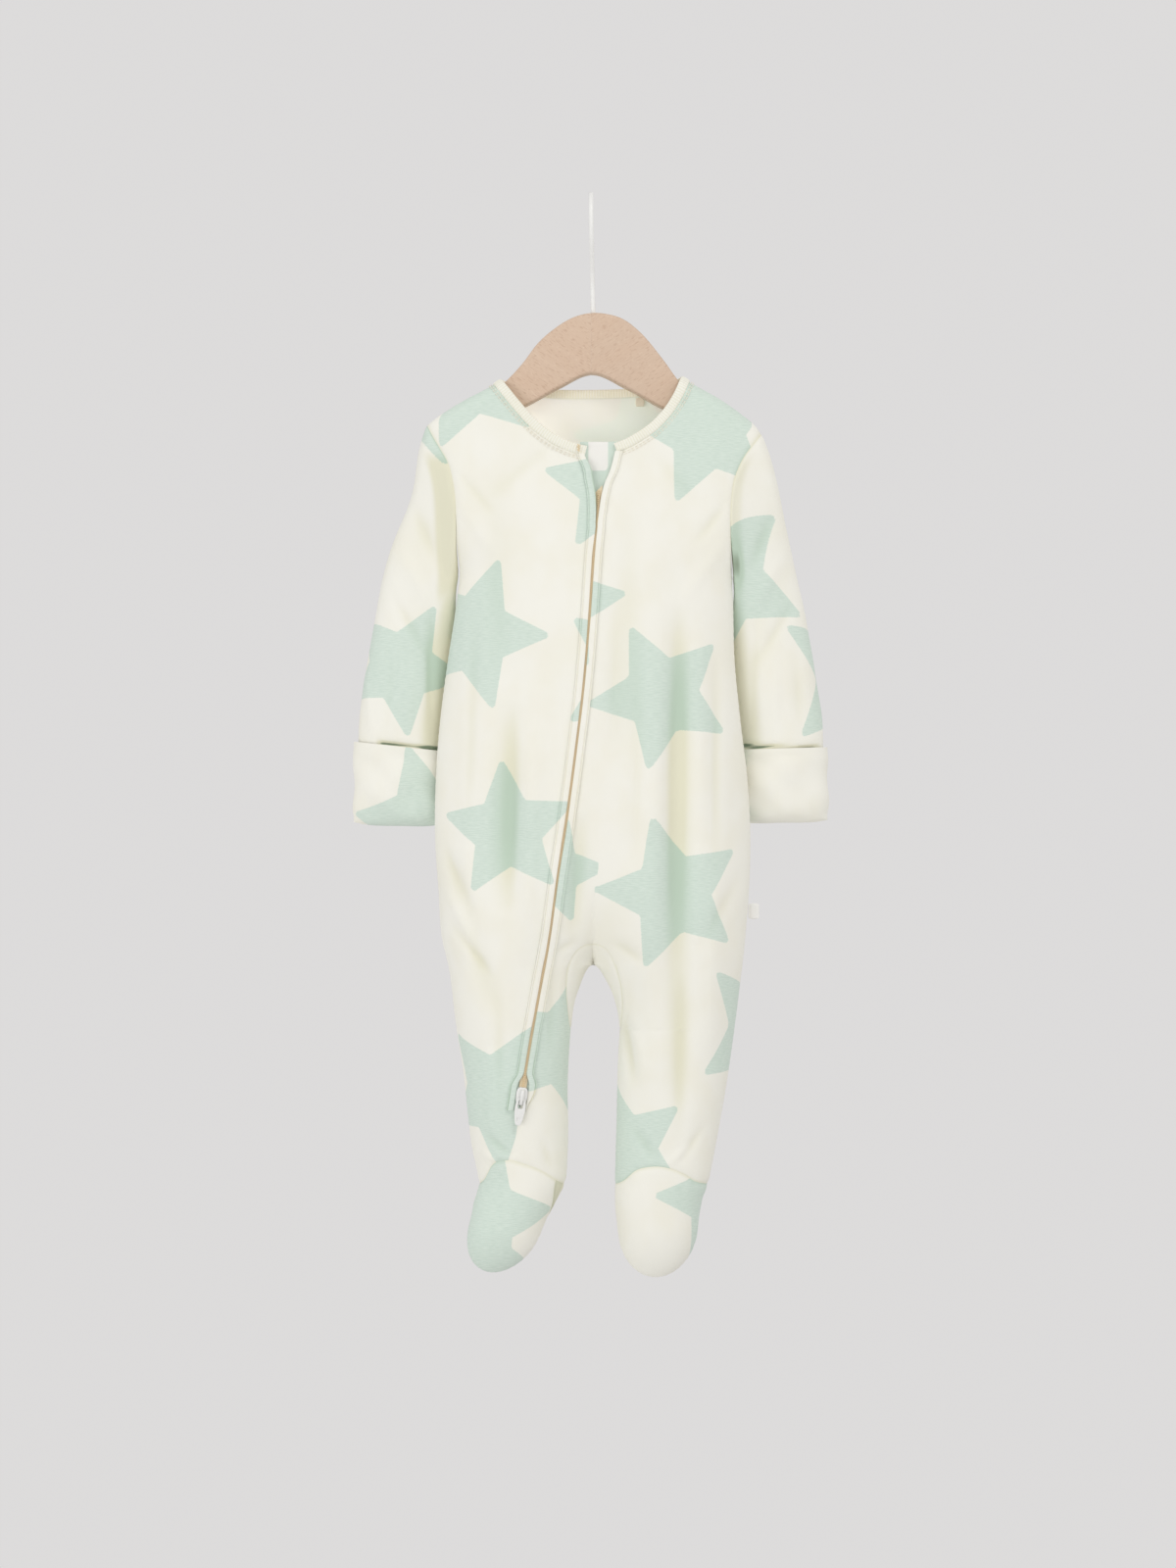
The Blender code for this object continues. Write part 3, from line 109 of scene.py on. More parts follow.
# the zip and its bands
ZIP_V_Z = -183.0
ZIP_END_Z = -552.0
ZIP_HALF_GAP = 2.5
ZIP_CLOSING_Z = -550.5
ZIP_CLOSING_LENGTH = 4.5
BAND_WIDTH = 4.6
BAND_HEIGHT = 1.6
BAND_SLIT = 1.3
BAND_TOP_Z = sides(-158.6, -157.2)
BAND_LIFT = 0.05
GROOVE_DEPTH = 0.55
# below this height the painted shade along the band's groove grows darker
GROOVE_SHADE_DARKENING_Z = -500.0
BAND_FLARE = 2.9
FLARE_TOP_Z = -534.0
FLARE_LENGTH = 9.0
BAND_END_Z = -557.5
BAND_POINT_Z = -546.0
BAND_POINTING = sides(0.0, 0.8)
TAPE_TOP_Z = -180.5
TAPE_HALF = 2.3
TAPE_UNDER = 0.1
TAPE_WALL = 0.6
TAPE_SLANT_LENGTH = 12.0
COIL_TOP_Z = -181.5
COIL_PITCH = 1.2
COIL_HALF = (0.62, 0.28)
COIL_LIFT = 1.15
COIL_THREAD = 0.3
CURL = 1.5
CURL_Z = (-160.0, -222.0)
CURL_SHADE_END_Z = -200.0
GUARD_Z = (-151.0, -192.0)
GUARD_X = sides((-8.0, -2.0), (19.0, 10.0))
GUARD_UNDER = 1.7
PATCH_MIDDLE = (3.2, -152.0)
PATCH_HALF = (6.0, 17.0)
PATCH_ROUNDING = 2.6
TACK_X = (-9.4, -8.0)
TACK_Z = (-153.4, -157.6)
TACK_LIFT = 1.9
TACK_THREAD = 0.45

# slider and pull tab, from the point of the skin under the slider
SLIDER_Z = -549.0
SLIDER_HALF = (3.45, 5.5)
SLIDER_TOP = 2.0
SLIDER_UNDER = 0.4
BRIDGE_TOP = 5.5
BRIDGE_HALF = (0.95, 0.45)
BRIDGE_REACH = 4.4
HINGE_DOWN = 1.2
HINGE_OUT = 3.55
PULL_LENGTH = 16.5
PULL_SLOT = 6.2
PULL_END = 0.6
PULL_THICK = 0.62
PULL_HALF = table("down half", [(-PULL_END, 2.5), (4, 3.2), (8, 3.1), (12, 2.6), (PULL_LENGTH, 2.2)])
DENT_DOWN = 13.0
DENT_HALF = (1.25, 1.6)
DENT_DEPTH = 0.4
DENT_EDGE = 0.3

# neckband, its stitches, and the two tabs of ribbon
RIB_PITCH = 1.7
RIB_WAVE = 0.12
BINDING_RISE = 2.2
BINDING_HALF = 3.0
BINDING_UNDER = 0.55
BINDING_THICK = 1.15
STITCH_PITCH = 2.6
STITCH_RADIUS = 0.26
STITCH_ROWS = ((-2.1, 0.35), (-3.4, 0.45))
LOOP_Z = (-121.8, -127.2)
LOOP_X = (26.4, 31.8)
LOOP_INSIDE = 2.6
LOOP_WALL = 1.2
LABEL_Z = -437.7
LABEL_HEIGHT = 9.6
LABEL_LENGTH = 6.6
LABEL_WALL = 1.0

# cloth walls, how their seams draw in, and the painted shade of seams, folds, the heel and the sleeves beside the body
SHELL = 0.9
CELL = 2.3
SEAM_DIP = 0.7
SEAM_REACH = 1.4
CALM_REACH = 7.0
PUCKER = 0.16
SEAM_SHADE = 0.6
SEAM_SHADE_REACH = 0.8
TROUGH_SHADE = 0.6
FOLD_FULL = 0.09
CREASE_FULL = 1.5
HEEL_SHADE = 1.25
SLEEVE_SHADE = sides({"inner": 1.0, "beside": 1.15, "reach": 16.0, "pit": 0.0, "slit from": 0.2},
                     {"inner": 0.7, "beside": 0.6, "reach": 10.0, "pit": 0.9, "slit from": 0.0})

# outer edge of the suit, down both sides; above the armpit it runs on inside the sleeve
SIDE = tables("z x", [
    (-105, -106), (-142, -106.5), (-160, -105), (-185, -100), (-210, -91), (-230.7, -81.9), (-242.1, -83),
    (-284.7, -89.3), (-326.1, -94.4), (-365.1, -96.8), (-395.7, -96.8), (-423.3, -94.9), (-454.5, -92.6),
    (-472.5, -88.4), (-506.7, -84.2), (-538.5, -79.4), (-566.1, -76.4), (-579.9, -74.8), (-596.1, -71.4),
    (-604.5, -70), (-614.1, -72.6), (-629.7, -75.9), (-647.1, -80.7), (-660, -84.3)], [
    (-105, 108), (-148, 108.5), (-165, 107), (-188, 102), (-212, 94), (-233.7, 85.8), (-250, 86.3), (-279.9, 86.9),
    (-318.9, 90.4), (-359.1, 95.2), (-395.7, 96.8), (-422.7, 96), (-455.7, 93.4), (-483.3, 90.2), (-517.5, 86),
    (-545.1, 81.9), (-572.7, 77.1), (-589.5, 73.8), (-604.5, 70.6), (-614.1, 67.2), (-629.7, 64.8), (-647, 64.1),
    (-663, 63)])

# inner edge of each leg and foot, by the square root of the drop below the crotch, which rounds the arch
INSEAM = tables("root x", [
    (0, 0), (3.55, -7.9), (4.96, -11.6), (6.1, -13.2), (8.59, -15.2), (10.82, -15.4), (11.57, -17.2),
    (11.98, -21.6), (12.61, -29.7), (13.28, -34.5), (13.76, -38.1)], [
    (0, 0), (2.68, 6.8), (4.58, 13.2), (6.1, 16.2), (7.22, 15.4), (10.82, 13.7), (11.57, 13.3), (12.26, 13.8),
    (12.61, 14.7), (13.28, 14.4), (13.86, 13.8)])

# seam of the gusset on the front and the back, by the square root of the drop below its top
GUSSET = tables("root x", [
    (0, 0), (1.73, -9), (3.19, -13.8), (4.31, -15.4), (5.37, -15.9), (6.41, -14.8), (7.15, -13.6)], [
    (0, 0), (1.61, 8), (3.79, 13.6), (5.31, 16.8), (6.33, 17.4), (7.15, 16.6)])

# how far the skin stands off the middle plane at its fullest
DEPTH = table("z front back", [
    (-105, 11.5, 11), (-130, 13.5, 12.5), (-153, 16.5, 14.5), (-200, 23, 19), (-260, 29, 24), (-330, 33, 29),
    (-395, 35, 33), (-440, 33.5, 33), (-470, 30, 31), (-500, 27, 28), (-545, 24, 24), (-590, 21, 22),
    (-612, 20.5, 28), (-630, 20, 25.5), (-645, 18.5, 19), (-663, 17, 15)])

SHOULDER_LINE = table("x z", [
    (-107, -144.5), SHOULDER_TIP[True], (-96, -134.9), (-80, -124.5), (-60.6, -114.3), (-40, -104), (0, -92),
    (40, -102), (58.8, -112.5), (73, -120.3), (90, -131.7), (101.4, -142), SHOULDER_TIP[False], (109, -153)])
ARMHOLE = tables("z x", [
    (-139.6, -102), (-145, -99.4), (-153.9, -94.2), (-162.3, -89.4), (-174, -86), (-183.9, -84.6), (-200, -83.8),
    (-215.7, -83.2), (-230.7, -81.9)], [
    (-145, 103.5), (-152, 98), (-160, 92.4), (-168, 88.4), (-175, 86.2), (-185, 84.8), (-200, 84.3), (-215.7, 84.7),
    (-233.7, 85.8)])
NECK_FRONT = table("x z", [
    (-60.6, -114.3), (-49.8, -128.1), (-39, -140.4), (-25.8, -150.9), (-14.4, -156.3), NECK_END[True],
    NECK_END[False], (21, -154.6), (28.2, -150.6), (41.4, -140.7), (49.8, -130.5), (55.2, -121), (58.8, -112.5)])
NECK_BACK = table("x z", [
    (-60.6, -114.3), (-50, -118.8), (-30, -121.4), (0, -122), (30, -120.6), (50, -117.4), (58.8, -112.5)])

# line of the zip, and of the seam below it
ZIP_LINE = table("z x", [
    (-150, 1.5), (-183, 3.4), (-220.5, 0.4), (-261.9, -2.4), (-299.7, -5.6), (-340, -10.4), (-375.3, -15.1),
    (-415, -21.2), (-455.7, -27.1), (-485, -32.6), (-512.7, -37.6), (-542.7, -42.4), (-565, -45.6), (-604.5, -50.2)])
ZIP_V = tables("z x", [
    (-159, -5.6), (-170, -2.6), (-177, -0.8), (-183, 0.9)], [
    (-159, 14.4), (-170, 11.4), (-177, 8), (-183, 5.9)])

# free edges of the two bands where they part for the neck
BAND_EDGE = tables("z x", [
    (-152, -5), (-159, -5.2), (-165.6, -2.4), (-169.1, -1.3), (-174.3, -0.6), (-181.6, 0.8), (-190.6, 1.4),
    (-203, 1.15)], [
    (-152, 14.6), (-160, 12.8), (-169.1, 10.4), (-176.9, 7.1), (-184.4, 5.1), (-194.7, 3.5), (-203, 2.45)])
BAND_JOIN_Z = -203.0

# lift of the ankle seam over the foot, across a leg from its outer edge (0) to its inner edge (1)
CAP_LIFT = tables("across lift", [
    (0, 0), (0.07, 4), (0.15, 12), (0.28, 15.6), (0.53, 13.6), (0.77, 8.2), (0.9, 3.4), (1, 0)], [
    (0, 0), (0.13, 2.4), (0.27, 7.4), (0.49, 12), (0.63, 12), (0.79, 9.2), (0.91, 3), (1, 0)])

# large folds of the body: a trough where the depth is below zero, a ridge where it is above, as shares of DEPTH
FOLDS = faces([
    # top x, top z, bottom x, bottom z, half width, depth
    (52, -250, 50, -560, 9, -0.1), (36, -270, 34, -540, 9, 0.06), (76, -290, 72, -530, 8, 0.09),
    (-51, -310, -55, -440, 9, -0.09), (-74, -290, -76, -470, 8, 0.08), (-34, -300, -40, -470, 8, 0.05),
    (-7, -378, -12, -454, 5.5, -0.09), (-88, -400, -60, -500, 6, -0.07), (-60, -520, -62, -590, 6, 0.08),
    (-60, -160, -56, -300, 10, -0.05), (24, -180, 20, -360, 8, -0.05)], [
    (0, -150, 0, -400, 10, -0.07), (-36, -200, -44, -460, 10, 0.06), (38, -220, 42, -500, 11, -0.08),
    (64, -260, 62, -540, 8, 0.08), (-68, -280, -66, -520, 9, -0.09), (20, -300, 30, -440, 9, 0.05)])

# small creases on top of the large folds, the same columns but with their height in millimetres
CREASES = faces([
    (16.6, -494, 26, -548, 3, -1.6), (23, -494, 33, -544, 4, 0.9), (-20, -148, -64, -186, 4.5, -0.9),
    (30, -150, 70, -196, 5.5, -0.8), (-84, -168, -60, -196, 3, -0.9), (-84, -184, -56, -226, 4, 0.8),
    (84, -186, 60, -216, 3.5, -1), (85, -206, 52, -252, 4.5, 0.9), (-93, -392, -70, -446, 3.5, -1.2),
    (-92, -420, -66, -466, 3, 1), (-90, -440, -58, -480, 3, -1.1), (92, -410, 64, -462, 4.5, -1),
    (-68, -570, -48, -588, 2.6, -1.1), (-70, -582, -52, -596, 2.2, 0.9), (-33, -572, -24, -598, 2.4, -1),
    (22, -566, 40, -590, 2.8, -1.1), (68, -566, 52, -592, 2.6, -1), (60, -578, 42, -596, 2.4, 0.8),
    (-24, -470, -26, -530, 3, -0.9), (8, -452, 34, -470, 3.4, -1.1), (-6, -452, -26, -464, 3.2, -0.9),
    (53, -236, 50, -470, 5.5, -1.7), (42, -244, 38, -452, 4.5, 1.1), (66, -250, 63, -500, 5, 1.3),
    (76, -262, 74, -430, 4, -1.2), (28, -262, 26, -420, 4, -0.9), (14, -240, 12, -352, 5, -0.8),
    (54, -470, 52, -586, 4.5, -1.4), (-48, -300, -51, -452, 4.5, -1.4), (-62, -300, -66, -440, 4, 1),
    (-36, -320, -40, -460, 3.6, 1), (-72, -250, -76, -400, 4, -1), (-58, -470, -56, -560, 4, -0.9)], [
    (-40, -136, -70, -188, 5, -0.9), (42, -136, 72, -190, 5, -0.9), (-84, -176, -54, -214, 3.6, -1.1),
    (84, -180, 52, -222, 3.6, -1.1), (-6, -300, -18, -452, 4, -1), (12, -330, 20, -456, 4, -1),
    (-86, -410, -40, -470, 4, -1.2), (86, -404, 40, -468, 4, -1.2), (-66, -564, -34, -586, 2.8, -1.2),
    (-62, -576, -30, -594, 2.6, 0.9), (66, -562, 30, -586, 2.8, -1.2), (60, -574, 28, -594, 2.6, 0.9),
    (-30, -470, -34, -548, 3.4, -0.9), (34, -474, 38, -552, 3.4, -0.9), (40, -230, 44, -440, 5, -1.5),
    (56, -250, 58, -470, 4.4, 1.1), (-44, -240, -48, -430, 5, -1.4), (-66, -260, -64, -452, 4.4, 1),
    (8, -210, 12, -330, 4.6, -0.9)])

# outer and inner edges of the sleeves, from the armhole to the end inside the cuff
SLEEVE = tables("along outer_x outer_z inner_x inner_z depth shift", [
    (0.0, -102, -139.6, -82.3, -231, 12, 0), (0.08, -106.4, -155, -83.9, -240, 12.5, 2.5),
    (0.2, -111.4, -181, -84.6, -253, 13, 7), (0.36, -124, -214, -85.4, -270, 13.5, 12),
    (0.54, -132.6, -249, -87.4, -289, 13.5, 14), (0.72, -139.2, -284.7, -91, -309, 13, 14),
    (0.88, -144.2, -319, -93.2, -329, 11.6, 14), (1.0, -145.2, -346, -93.6, -346, 11.2, 14)], [
    (0.0, 103.5, -145, 86.2, -234, 12, 0), (0.08, 109, -160, 86.9, -243, 12.5, 2.5),
    (0.2, 115.6, -186, 85.4, -256, 13, 7), (0.36, 122.6, -217, 84.4, -272, 13.5, 12),
    (0.54, 130.2, -253, 85, -291, 13.5, 14), (0.72, 137.2, -290, 88, -310, 13, 14),
    (0.88, 141.8, -320, 91.2, -329, 11.6, 14), (1.0, 142.4, -346, 92.2, -346, 11.2, 14)])
CREASES_SLEEVE = [
    # the same columns, for the front and the back of both sleeves
    (-112, -186, -90, -236, 4, -1.3), (-120, -214, -94, -262, 4, 1.1), (-126, -240, -98, -286, 3.4, -1.2),
    (-99, -236, -100, -336, 3.2, -1.8), (-122, -272, -128, -336, 3.6, -1), (-112, -280, -114, -338, 3.6, 1),
    (-140, -290, -134, -340, 3, 0.9), (112, -190, 92, -240, 4, -1.3), (120, -214, 94, -262, 4, 1.1),
    (126, -244, 98, -290, 3.4, -1.2), (100, -244, 99, -334, 3.2, -1.3), (124, -272, 128, -334, 3.6, -1),
    (112, -276, 112, -338, 3.6, 1)]
CUFF_BOTTOM = tables("across z", [
    (0, -383.2), (0.12, -384.6), (0.5, -385.6), (0.9, -385.2), (1, -384.2)], [
    (0, -382), (0.12, -383), (0.5, -383.6), (0.9, -383.6), (1, -382.8)])
CUFF_MOUTH_Z = sides((-333.6, -339.6), (-337.0, -338.6))
CUFF_REACH = 2.3
CUFF_SHELL = 1.3

# the hanger and its hook
HANGER_THICKNESS = 11.0
HANGER_MITRE_X = -1.2
MITRE_GAP = 0.02
MITRE_ROUNDING = 0.12
TIP_CLOSING = 4.0
HANGER_TIP_X = 92.0
HANGER_ROUNDING = 2.2
ARM_THINNING = 2.2
THINNING_START_X = 45.0
THINNING_LENGTH = 40.0
HANGER_TOP = table("x z", [
    (-93, -139.6), (-80, -129.6), (-60.6, -119.4), (-53.6, -113.4), (-42.8, -101.8), (-34.3, -90.5), (-23.6, -80.9),
    (-12, -74), (-1.2, -71.3), (9, -72), (18.2, -74.9), (30, -84.1), (42.8, -99.6), (54.1, -114.6), (60, -119.6),
    (73, -126.4), (88, -136.4), (94, -141.6)])
HANGER_BOTTOM = table("x z", [
    (-93, -148.4), (-80, -144), (-60, -136), (-40.8, -128.3), (-20, -117), (-0.6, -108.8), (20, -117.4),
    (41.3, -129.1), (60, -137), (80, -146), (94, -151)])
HOOK_WIRE = 3.0
HOOK_INNER_RADIUS = 15.0
HOOK_FOOT_Z = -73.0
HOOK_X = 0.2
HOOK_LEAN = -1.4
HOOK_LEAN_LENGTH = 60.0
HOOK_BEND_Z = -58.0
HOOK_BEND_LENGTH = 40.0
HOOK_TURN = 205.0

# stars of the print, all of one plain design: rough centre x and z, radius, and turn in degrees
STARS_FRONT = sides([
    (-74, -268, 50, 20), (-52, -388, 45, -5), (-74, -110, 50, 60), (12, -178, 45, -5), (30, -292, 55, 20),
    (-60, -548, 50, 30)], [
    (42, -306, 48, -25), (48, -426, 50, -15), (70, -144, 50, 60), (-22, -250, 45, 10), (18, -582, 45, -20),
    (114, -510, 55, 25)])
STARS_STRIP = [*STARS_FRONT[False][:4], (-24, -412, 35, 15), (-18, -520, 48, 15)]
STARS_BACK = [
    (30, -150, 45, -10), (66, -226, 48, -25), (-64, -250, 50, 30), (10, -298, 45, -10), (-60, -372, 48, 10),
    (70, -366, 50, 45), (8, -424, 38, 20), (-72, -490, 45, -20), (66, -484, 46, 10), (-36, -576, 42, 25),
    (40, -588, 42, -10), (106, -126, 42, 10), (-96, -150, 42, -15)]
STARS_SLEEVE = [
    (-118, -288, 45, 30), (-94, -124, 45, 40), (-172, -216, 45, 10), (-196, -310, 45, -20), (80, -236, 55, 40),
    (170, -290, 60, 10), (164, -178, 42, 30)]
STARS_CUFF = [(-102, -380, 48, -15), (-186, -356, 40, -20), (188, -352, 40, 25)]
STARS_GUSSET = [(-36, -500, 24, 10)]
STARS_FOOT = sides([(-70, -622, 52, 15), (-92, -642, 60, 30)], [(80, -612, 45, -15)])
STARS_SOLE = [(-58, -640, 38, 15), (44, -640, 40, -20)]
STAR_WAIST = 0.48
STAR_ROUNDING = 2.0


# arithmetic

def unit(value):
    """The value held between 0 and 1."""
    return np.clip(value, 0.0, 1.0)


def positive(value):
    """The value, or 0 where it is below."""
    return np.clip(value, 0.0, None)


def smoothstep(value):
    """An S curve from 0 to 1: three times the square, less twice the cube."""
    value = unit(value)
    return value * value * (3.0 - 2.0 * value)


def bell(value):
    """1 at zero, falling smoothly to nothing either way."""
    return np.exp(-value ** 2)


def between(start, end, share):
    """A share of the way from start to end."""
    return start + (end - start) * share


def unit_vectors(vectors):
    """Vectors divided by their lengths."""
    return vectors / np.linalg.norm(vectors, axis=-1, keepdims=True)


def stacked(*parts):
    """Numbers spread to one shape and put side by side in a last axis."""
    return np.stack(np.broadcast_arrays(*parts), axis=-1)


def run_of(steps, axis=0):
    """Running sum of the steps along an axis, from zero."""
    return np.insert(np.cumsum(steps, axis=axis), 0, 0.0, axis=axis)


def circle(count):
    """Angles spaced evenly round a circle."""
    return np.arange(count) * 2.0 * math.pi / count


def squared_off(wave, power):
    """A wave from -1 to 1 that stays the longer near its ends, the lower the power."""
    return np.sign(wave) * np.abs(wave) ** power


def superellipse(count, power, other=None):
    """Two waves that go round a rounded rectangle filling -1 to 1 both ways."""
    turn = circle(count)
    return squared_off(np.cos(turn), power), squared_off(np.sin(turn), other or power)


def smooth(at, knots, values):
    """Values on a smooth curve through the knots: cubic spans whose slopes come from the neighbouring knots."""
    slopes = np.gradient(values, knots)
    at = np.asarray(at, float)
    span = np.clip(np.searchsorted(knots, at) - 1, 0, len(knots) - 2)
    length = knots[span + 1] - knots[span]
    t = unit((at - knots[span]) / length)
    start = (1 + 2 * t) * (1 - t) ** 2 * values[span] + t * (1 - t) ** 2 * length * slopes[span]
    end = t * t * (3 - 2 * t) * values[span + 1] - t * t * (1 - t) * length * slopes[span + 1]
    return start + end


def read(columns, at, name=None):
    """A table's last or named column, read smoothly at places along its first column."""
    names = list(columns)
    return smooth(at, columns[names[0]], columns[name or names[-1]])


def eased(count, power):
    """Steps from 0 to 1 whose places are raised to a power, so that they lie closer near 0 above 1."""
    return np.linspace(0.0, 1.0, count + 1) ** power


def spaced(start, end, cell=CELL):
    """Places from start to end, about a cell apart."""
    return np.linspace(start, end, max(2, round(abs(end - start) / cell)) + 1)


# the suit's skin

def root_below(z, top, softness=0.0):
    """Square root of the drop below a height, zero above it; the softness spreads its start."""
    drop = top - np.asarray(z, float)
    return np.sqrt((drop + np.hypot(drop, softness)) / 2)


def inseam(z, left, softness=0.0):
    """Inner edge of a leg; the middle of the body above the crotch."""
    return read(INSEAM[left], root_below(z, CROTCH_Z, softness))


def gusset_seam(z, left):
    """x of the gusset's seam, by the square root of the drop below its top."""
    return read(GUSSET[left], root_below(z, GUSSET_TOP_Z))


def side(z, left):
    """x of the suit's outer edge at a height."""
    return read(SIDE[left], z)


def merging(z):
    """How far the body's section has split into two legs: 0 above the valley, 1 at the crotch and below. The last
    part of the way levels off on a cubic, so that no kink crosses the body there."""
    share = unit((VALLEY_TOP_Z - z) / (VALLEY_TOP_Z - CROTCH_Z))
    late = unit((share - 1.0 + SPLIT_EASING) / SPLIT_EASING)
    return share + SPLIT_EASING * (late ** 2 - late ** 3)


def fold_relief(x, z, face):
    """Sum of soft ridges and troughs, each a bell across its line that fades towards its two ends."""
    relief = np.zeros(np.broadcast(x, z).shape)
    for top_x, top_z, bottom_x, bottom_z, half_width, depth in FOLDS[face]:
        along = (top_z - z) / (top_z - bottom_z)
        fade = positive(4.0 * along * (1.0 - along)) ** 0.7
        relief = relief + depth * fade * bell((x - between(top_x, bottom_x, along)) / half_width)
    return relief


def crease_relief(x, z, creases):
    """Sum of small creases: each a bell across its own line, that rises and falls smoothly along it."""
    relief = np.zeros(np.broadcast(x, z).shape)
    for top_x, top_z, bottom_x, bottom_z, half_width, height in creases:
        line_x, line_z = bottom_x - top_x, bottom_z - top_z
        length = math.hypot(line_x, line_z)
        along = ((x - top_x) * line_x + (z - top_z) * line_z) / length ** 2
        away = ((x - top_x) * line_z - (z - top_z) * line_x) / length
        relief = relief + height * positive(4.0 * along * (1.0 - along)) ** 1.3 * bell(away / half_width)
    return relief


def depth_squared(x, z, face):
    """Square of the skin's distance from the middle plane at (x, z), which falls below zero outside the outline.

    The section from a side to the middle is part of an ellipse: a quarter in the body, a half in a leg. The inner
    edge starts softly at the crotch, seen from inside, so that no line crosses the body there. The section is rolled
    over at the shoulders, closed at the toes, and folded in share of its depth.
    """
    total = np.zeros(np.broadcast(x, z).shape)
    for left in (True, False):
        outer, inner = side(z, left), inseam(z, left)
        inner = between(inner, inseam(z, left, CROTCH_SOFTNESS), smoothstep(np.abs(x - inner) / CROTCH_EDGE))
        cosine = 1.0 - (x - outer) / (inner - outer) * (1.0 + merging(z))
        toe = positive((SOLE_WIDEST_Z - z) / TOE_LENGTH[left])
        total = np.where((x < 0.0) == left, 1.0 - cosine ** 2 - toe ** 2, total)
    roll = 1.0 - positive(1.0 - (read(SHOULDER_LINE, x) - z) / SHOULDER_ROLL) ** 2
    return read(DEPTH, z, FACE_NAME[face]) ** 2 * total * roll * (1.0 + fold_relief(x, z, face)) ** 2


def skin(x, z, face):
    """Points of the skin at (x, z) and their outward normals, from the slopes of its squared depth."""
    x, z = np.broadcast_arrays(np.asarray(x, float), np.asarray(z, float))
    y = face * np.sqrt(positive(depth_squared(x, z, face)))
    slope_x, slope_z = (
        (depth_squared(x + dx, z + dz, face) - depth_squared(x - dx, z - dz, face)) / (2 * SLOPE_STEP)
        for dx, dz in ((SLOPE_STEP, 0.0), (0.0, SLOPE_STEP)))
    return stacked(x, y, z), unit_vectors(stacked(-slope_x, 2.0 * y, -slope_z))


# waves of hung cloth: height, length across and down, start, and what the face adds to that
DRIFT = [(0.24, 8.7, 33.0, 0.0, 1.3), (0.18, 5.1, -47.0, 2.1, 0.0), (0.16, 29.0, 12.3, 0.0, 0.7),
         (0.10, -11.0, 6.1, 4.0, 0.0)]


def drift(x, z, face):
    """Slow unevenness of hung cloth: a sum of waves of four lengths and directions."""
    return sum(height * np.sin(x / across + z / down + start + turn * face)
               for height, across, down, start, turn in DRIFT)


def raised(x, z, face, height, calm=1.0):
    """Skin points lifted by a height and by the creases and the drift, which calm scales down near seams."""
    points, normals = skin(x, z, face)
    x, z = points[..., 0], points[..., 2]
    lift = height + calm * (crease_relief(x, z, CREASES[face]) + drift(x, z, face))
    return points + lift[..., None] * normals, normals


def section_angle(x, z, left):
    """Angle of a point round its section: 0 at the side, more towards the middle or the inner leg."""
    outer = side(z, left)
    across = (x - outer) / (inseam(z, left) - outer)
    return np.arccos(np.clip(1.0 - across * (1.0 + merging(z)), -1.0, 1.0))


def across_section(x_from, x_to, z, left, columns):
    """For each height, places from one x to another along its section, spaced evenly by angle."""
    start, end = section_angle(x_from, z, left)[:, None], section_angle(x_to, z, left)[:, None]
    turn = 1.0 - np.cos(between(start, end, np.linspace(0.0, 1.0, columns + 1)))
    x = between(side(z, left)[:, None], inseam(z, left)[:, None], turn / (1.0 + merging(z)[:, None]))
    x[:, 0], x[:, -1] = x_from, x_to
    return x


def coons(top, bottom, start, end):
    """Grid of (x, z) between four edges: straight blends of the opposite edges, less that of the corners."""
    t = np.linspace(0.0, 1.0, len(start))[:, None, None]
    c = np.linspace(0.0, 1.0, len(top))[None, :, None]
    corners = between(between(top[0], top[-1], c), between(bottom[0], bottom[-1], c), t)
    return between(top[None], bottom[None], t) + between(start[:, None], end[:, None], c) - corners


# print

def star_corners(x, z, radius, turn):
    """The ten corners of a regular star whose tips are rounded afterwards, so it is first drawn smaller by the
    rounding."""
    share = np.where(np.arange(10) % 2 == 0, 1.0, STAR_WAIST)
    rise = STAR_WAIST * math.sin(math.pi / 5)
    to_edge = radius * rise / math.hypot(rise, 1.0 - STAR_WAIST * math.cos(math.pi / 5))
    reach = radius * share * (1.0 - STAR_ROUNDING / to_edge)
    angle = circle(10) + math.radians(turn)
    return stacked(x + reach * np.sin(angle), z + reach * np.cos(angle))


def star_distance(across, along, stars):
    """Signed distance to the nearest star's edge, below zero inside: least distance to its ten sides, less the
    rounding, with the sign from how often a level line crosses the sides."""
    place = stacked(across, along)
    least = np.full(across.shape, 50.0)
    for star in stars:
        corners = star_corners(*star)
        near = np.hypot(across - star[0], along - star[1]) < 1.6 * star[2]
        here = place[near]
        distance, inside = np.full(len(here), np.inf), np.zeros(len(here), bool)
        for start, end in zip(corners, np.roll(corners, -1, axis=0)):
            span, offset = end - start, here - start
            share = unit(offset @ span / (span @ span))
            distance = np.minimum(distance, np.linalg.norm(offset - share[:, None] * span, axis=-1))
            crosses = (start[1] > here[:, 1]) != (end[1] > here[:, 1])
            inside ^= crosses & (here[:, 0] < start[0] + (here[:, 1] - start[1]) * span[0] / (span[1] or 1e-9))
        least[near] = np.minimum(least[near], np.where(inside, -distance, distance) - STAR_ROUNDING)
    return least


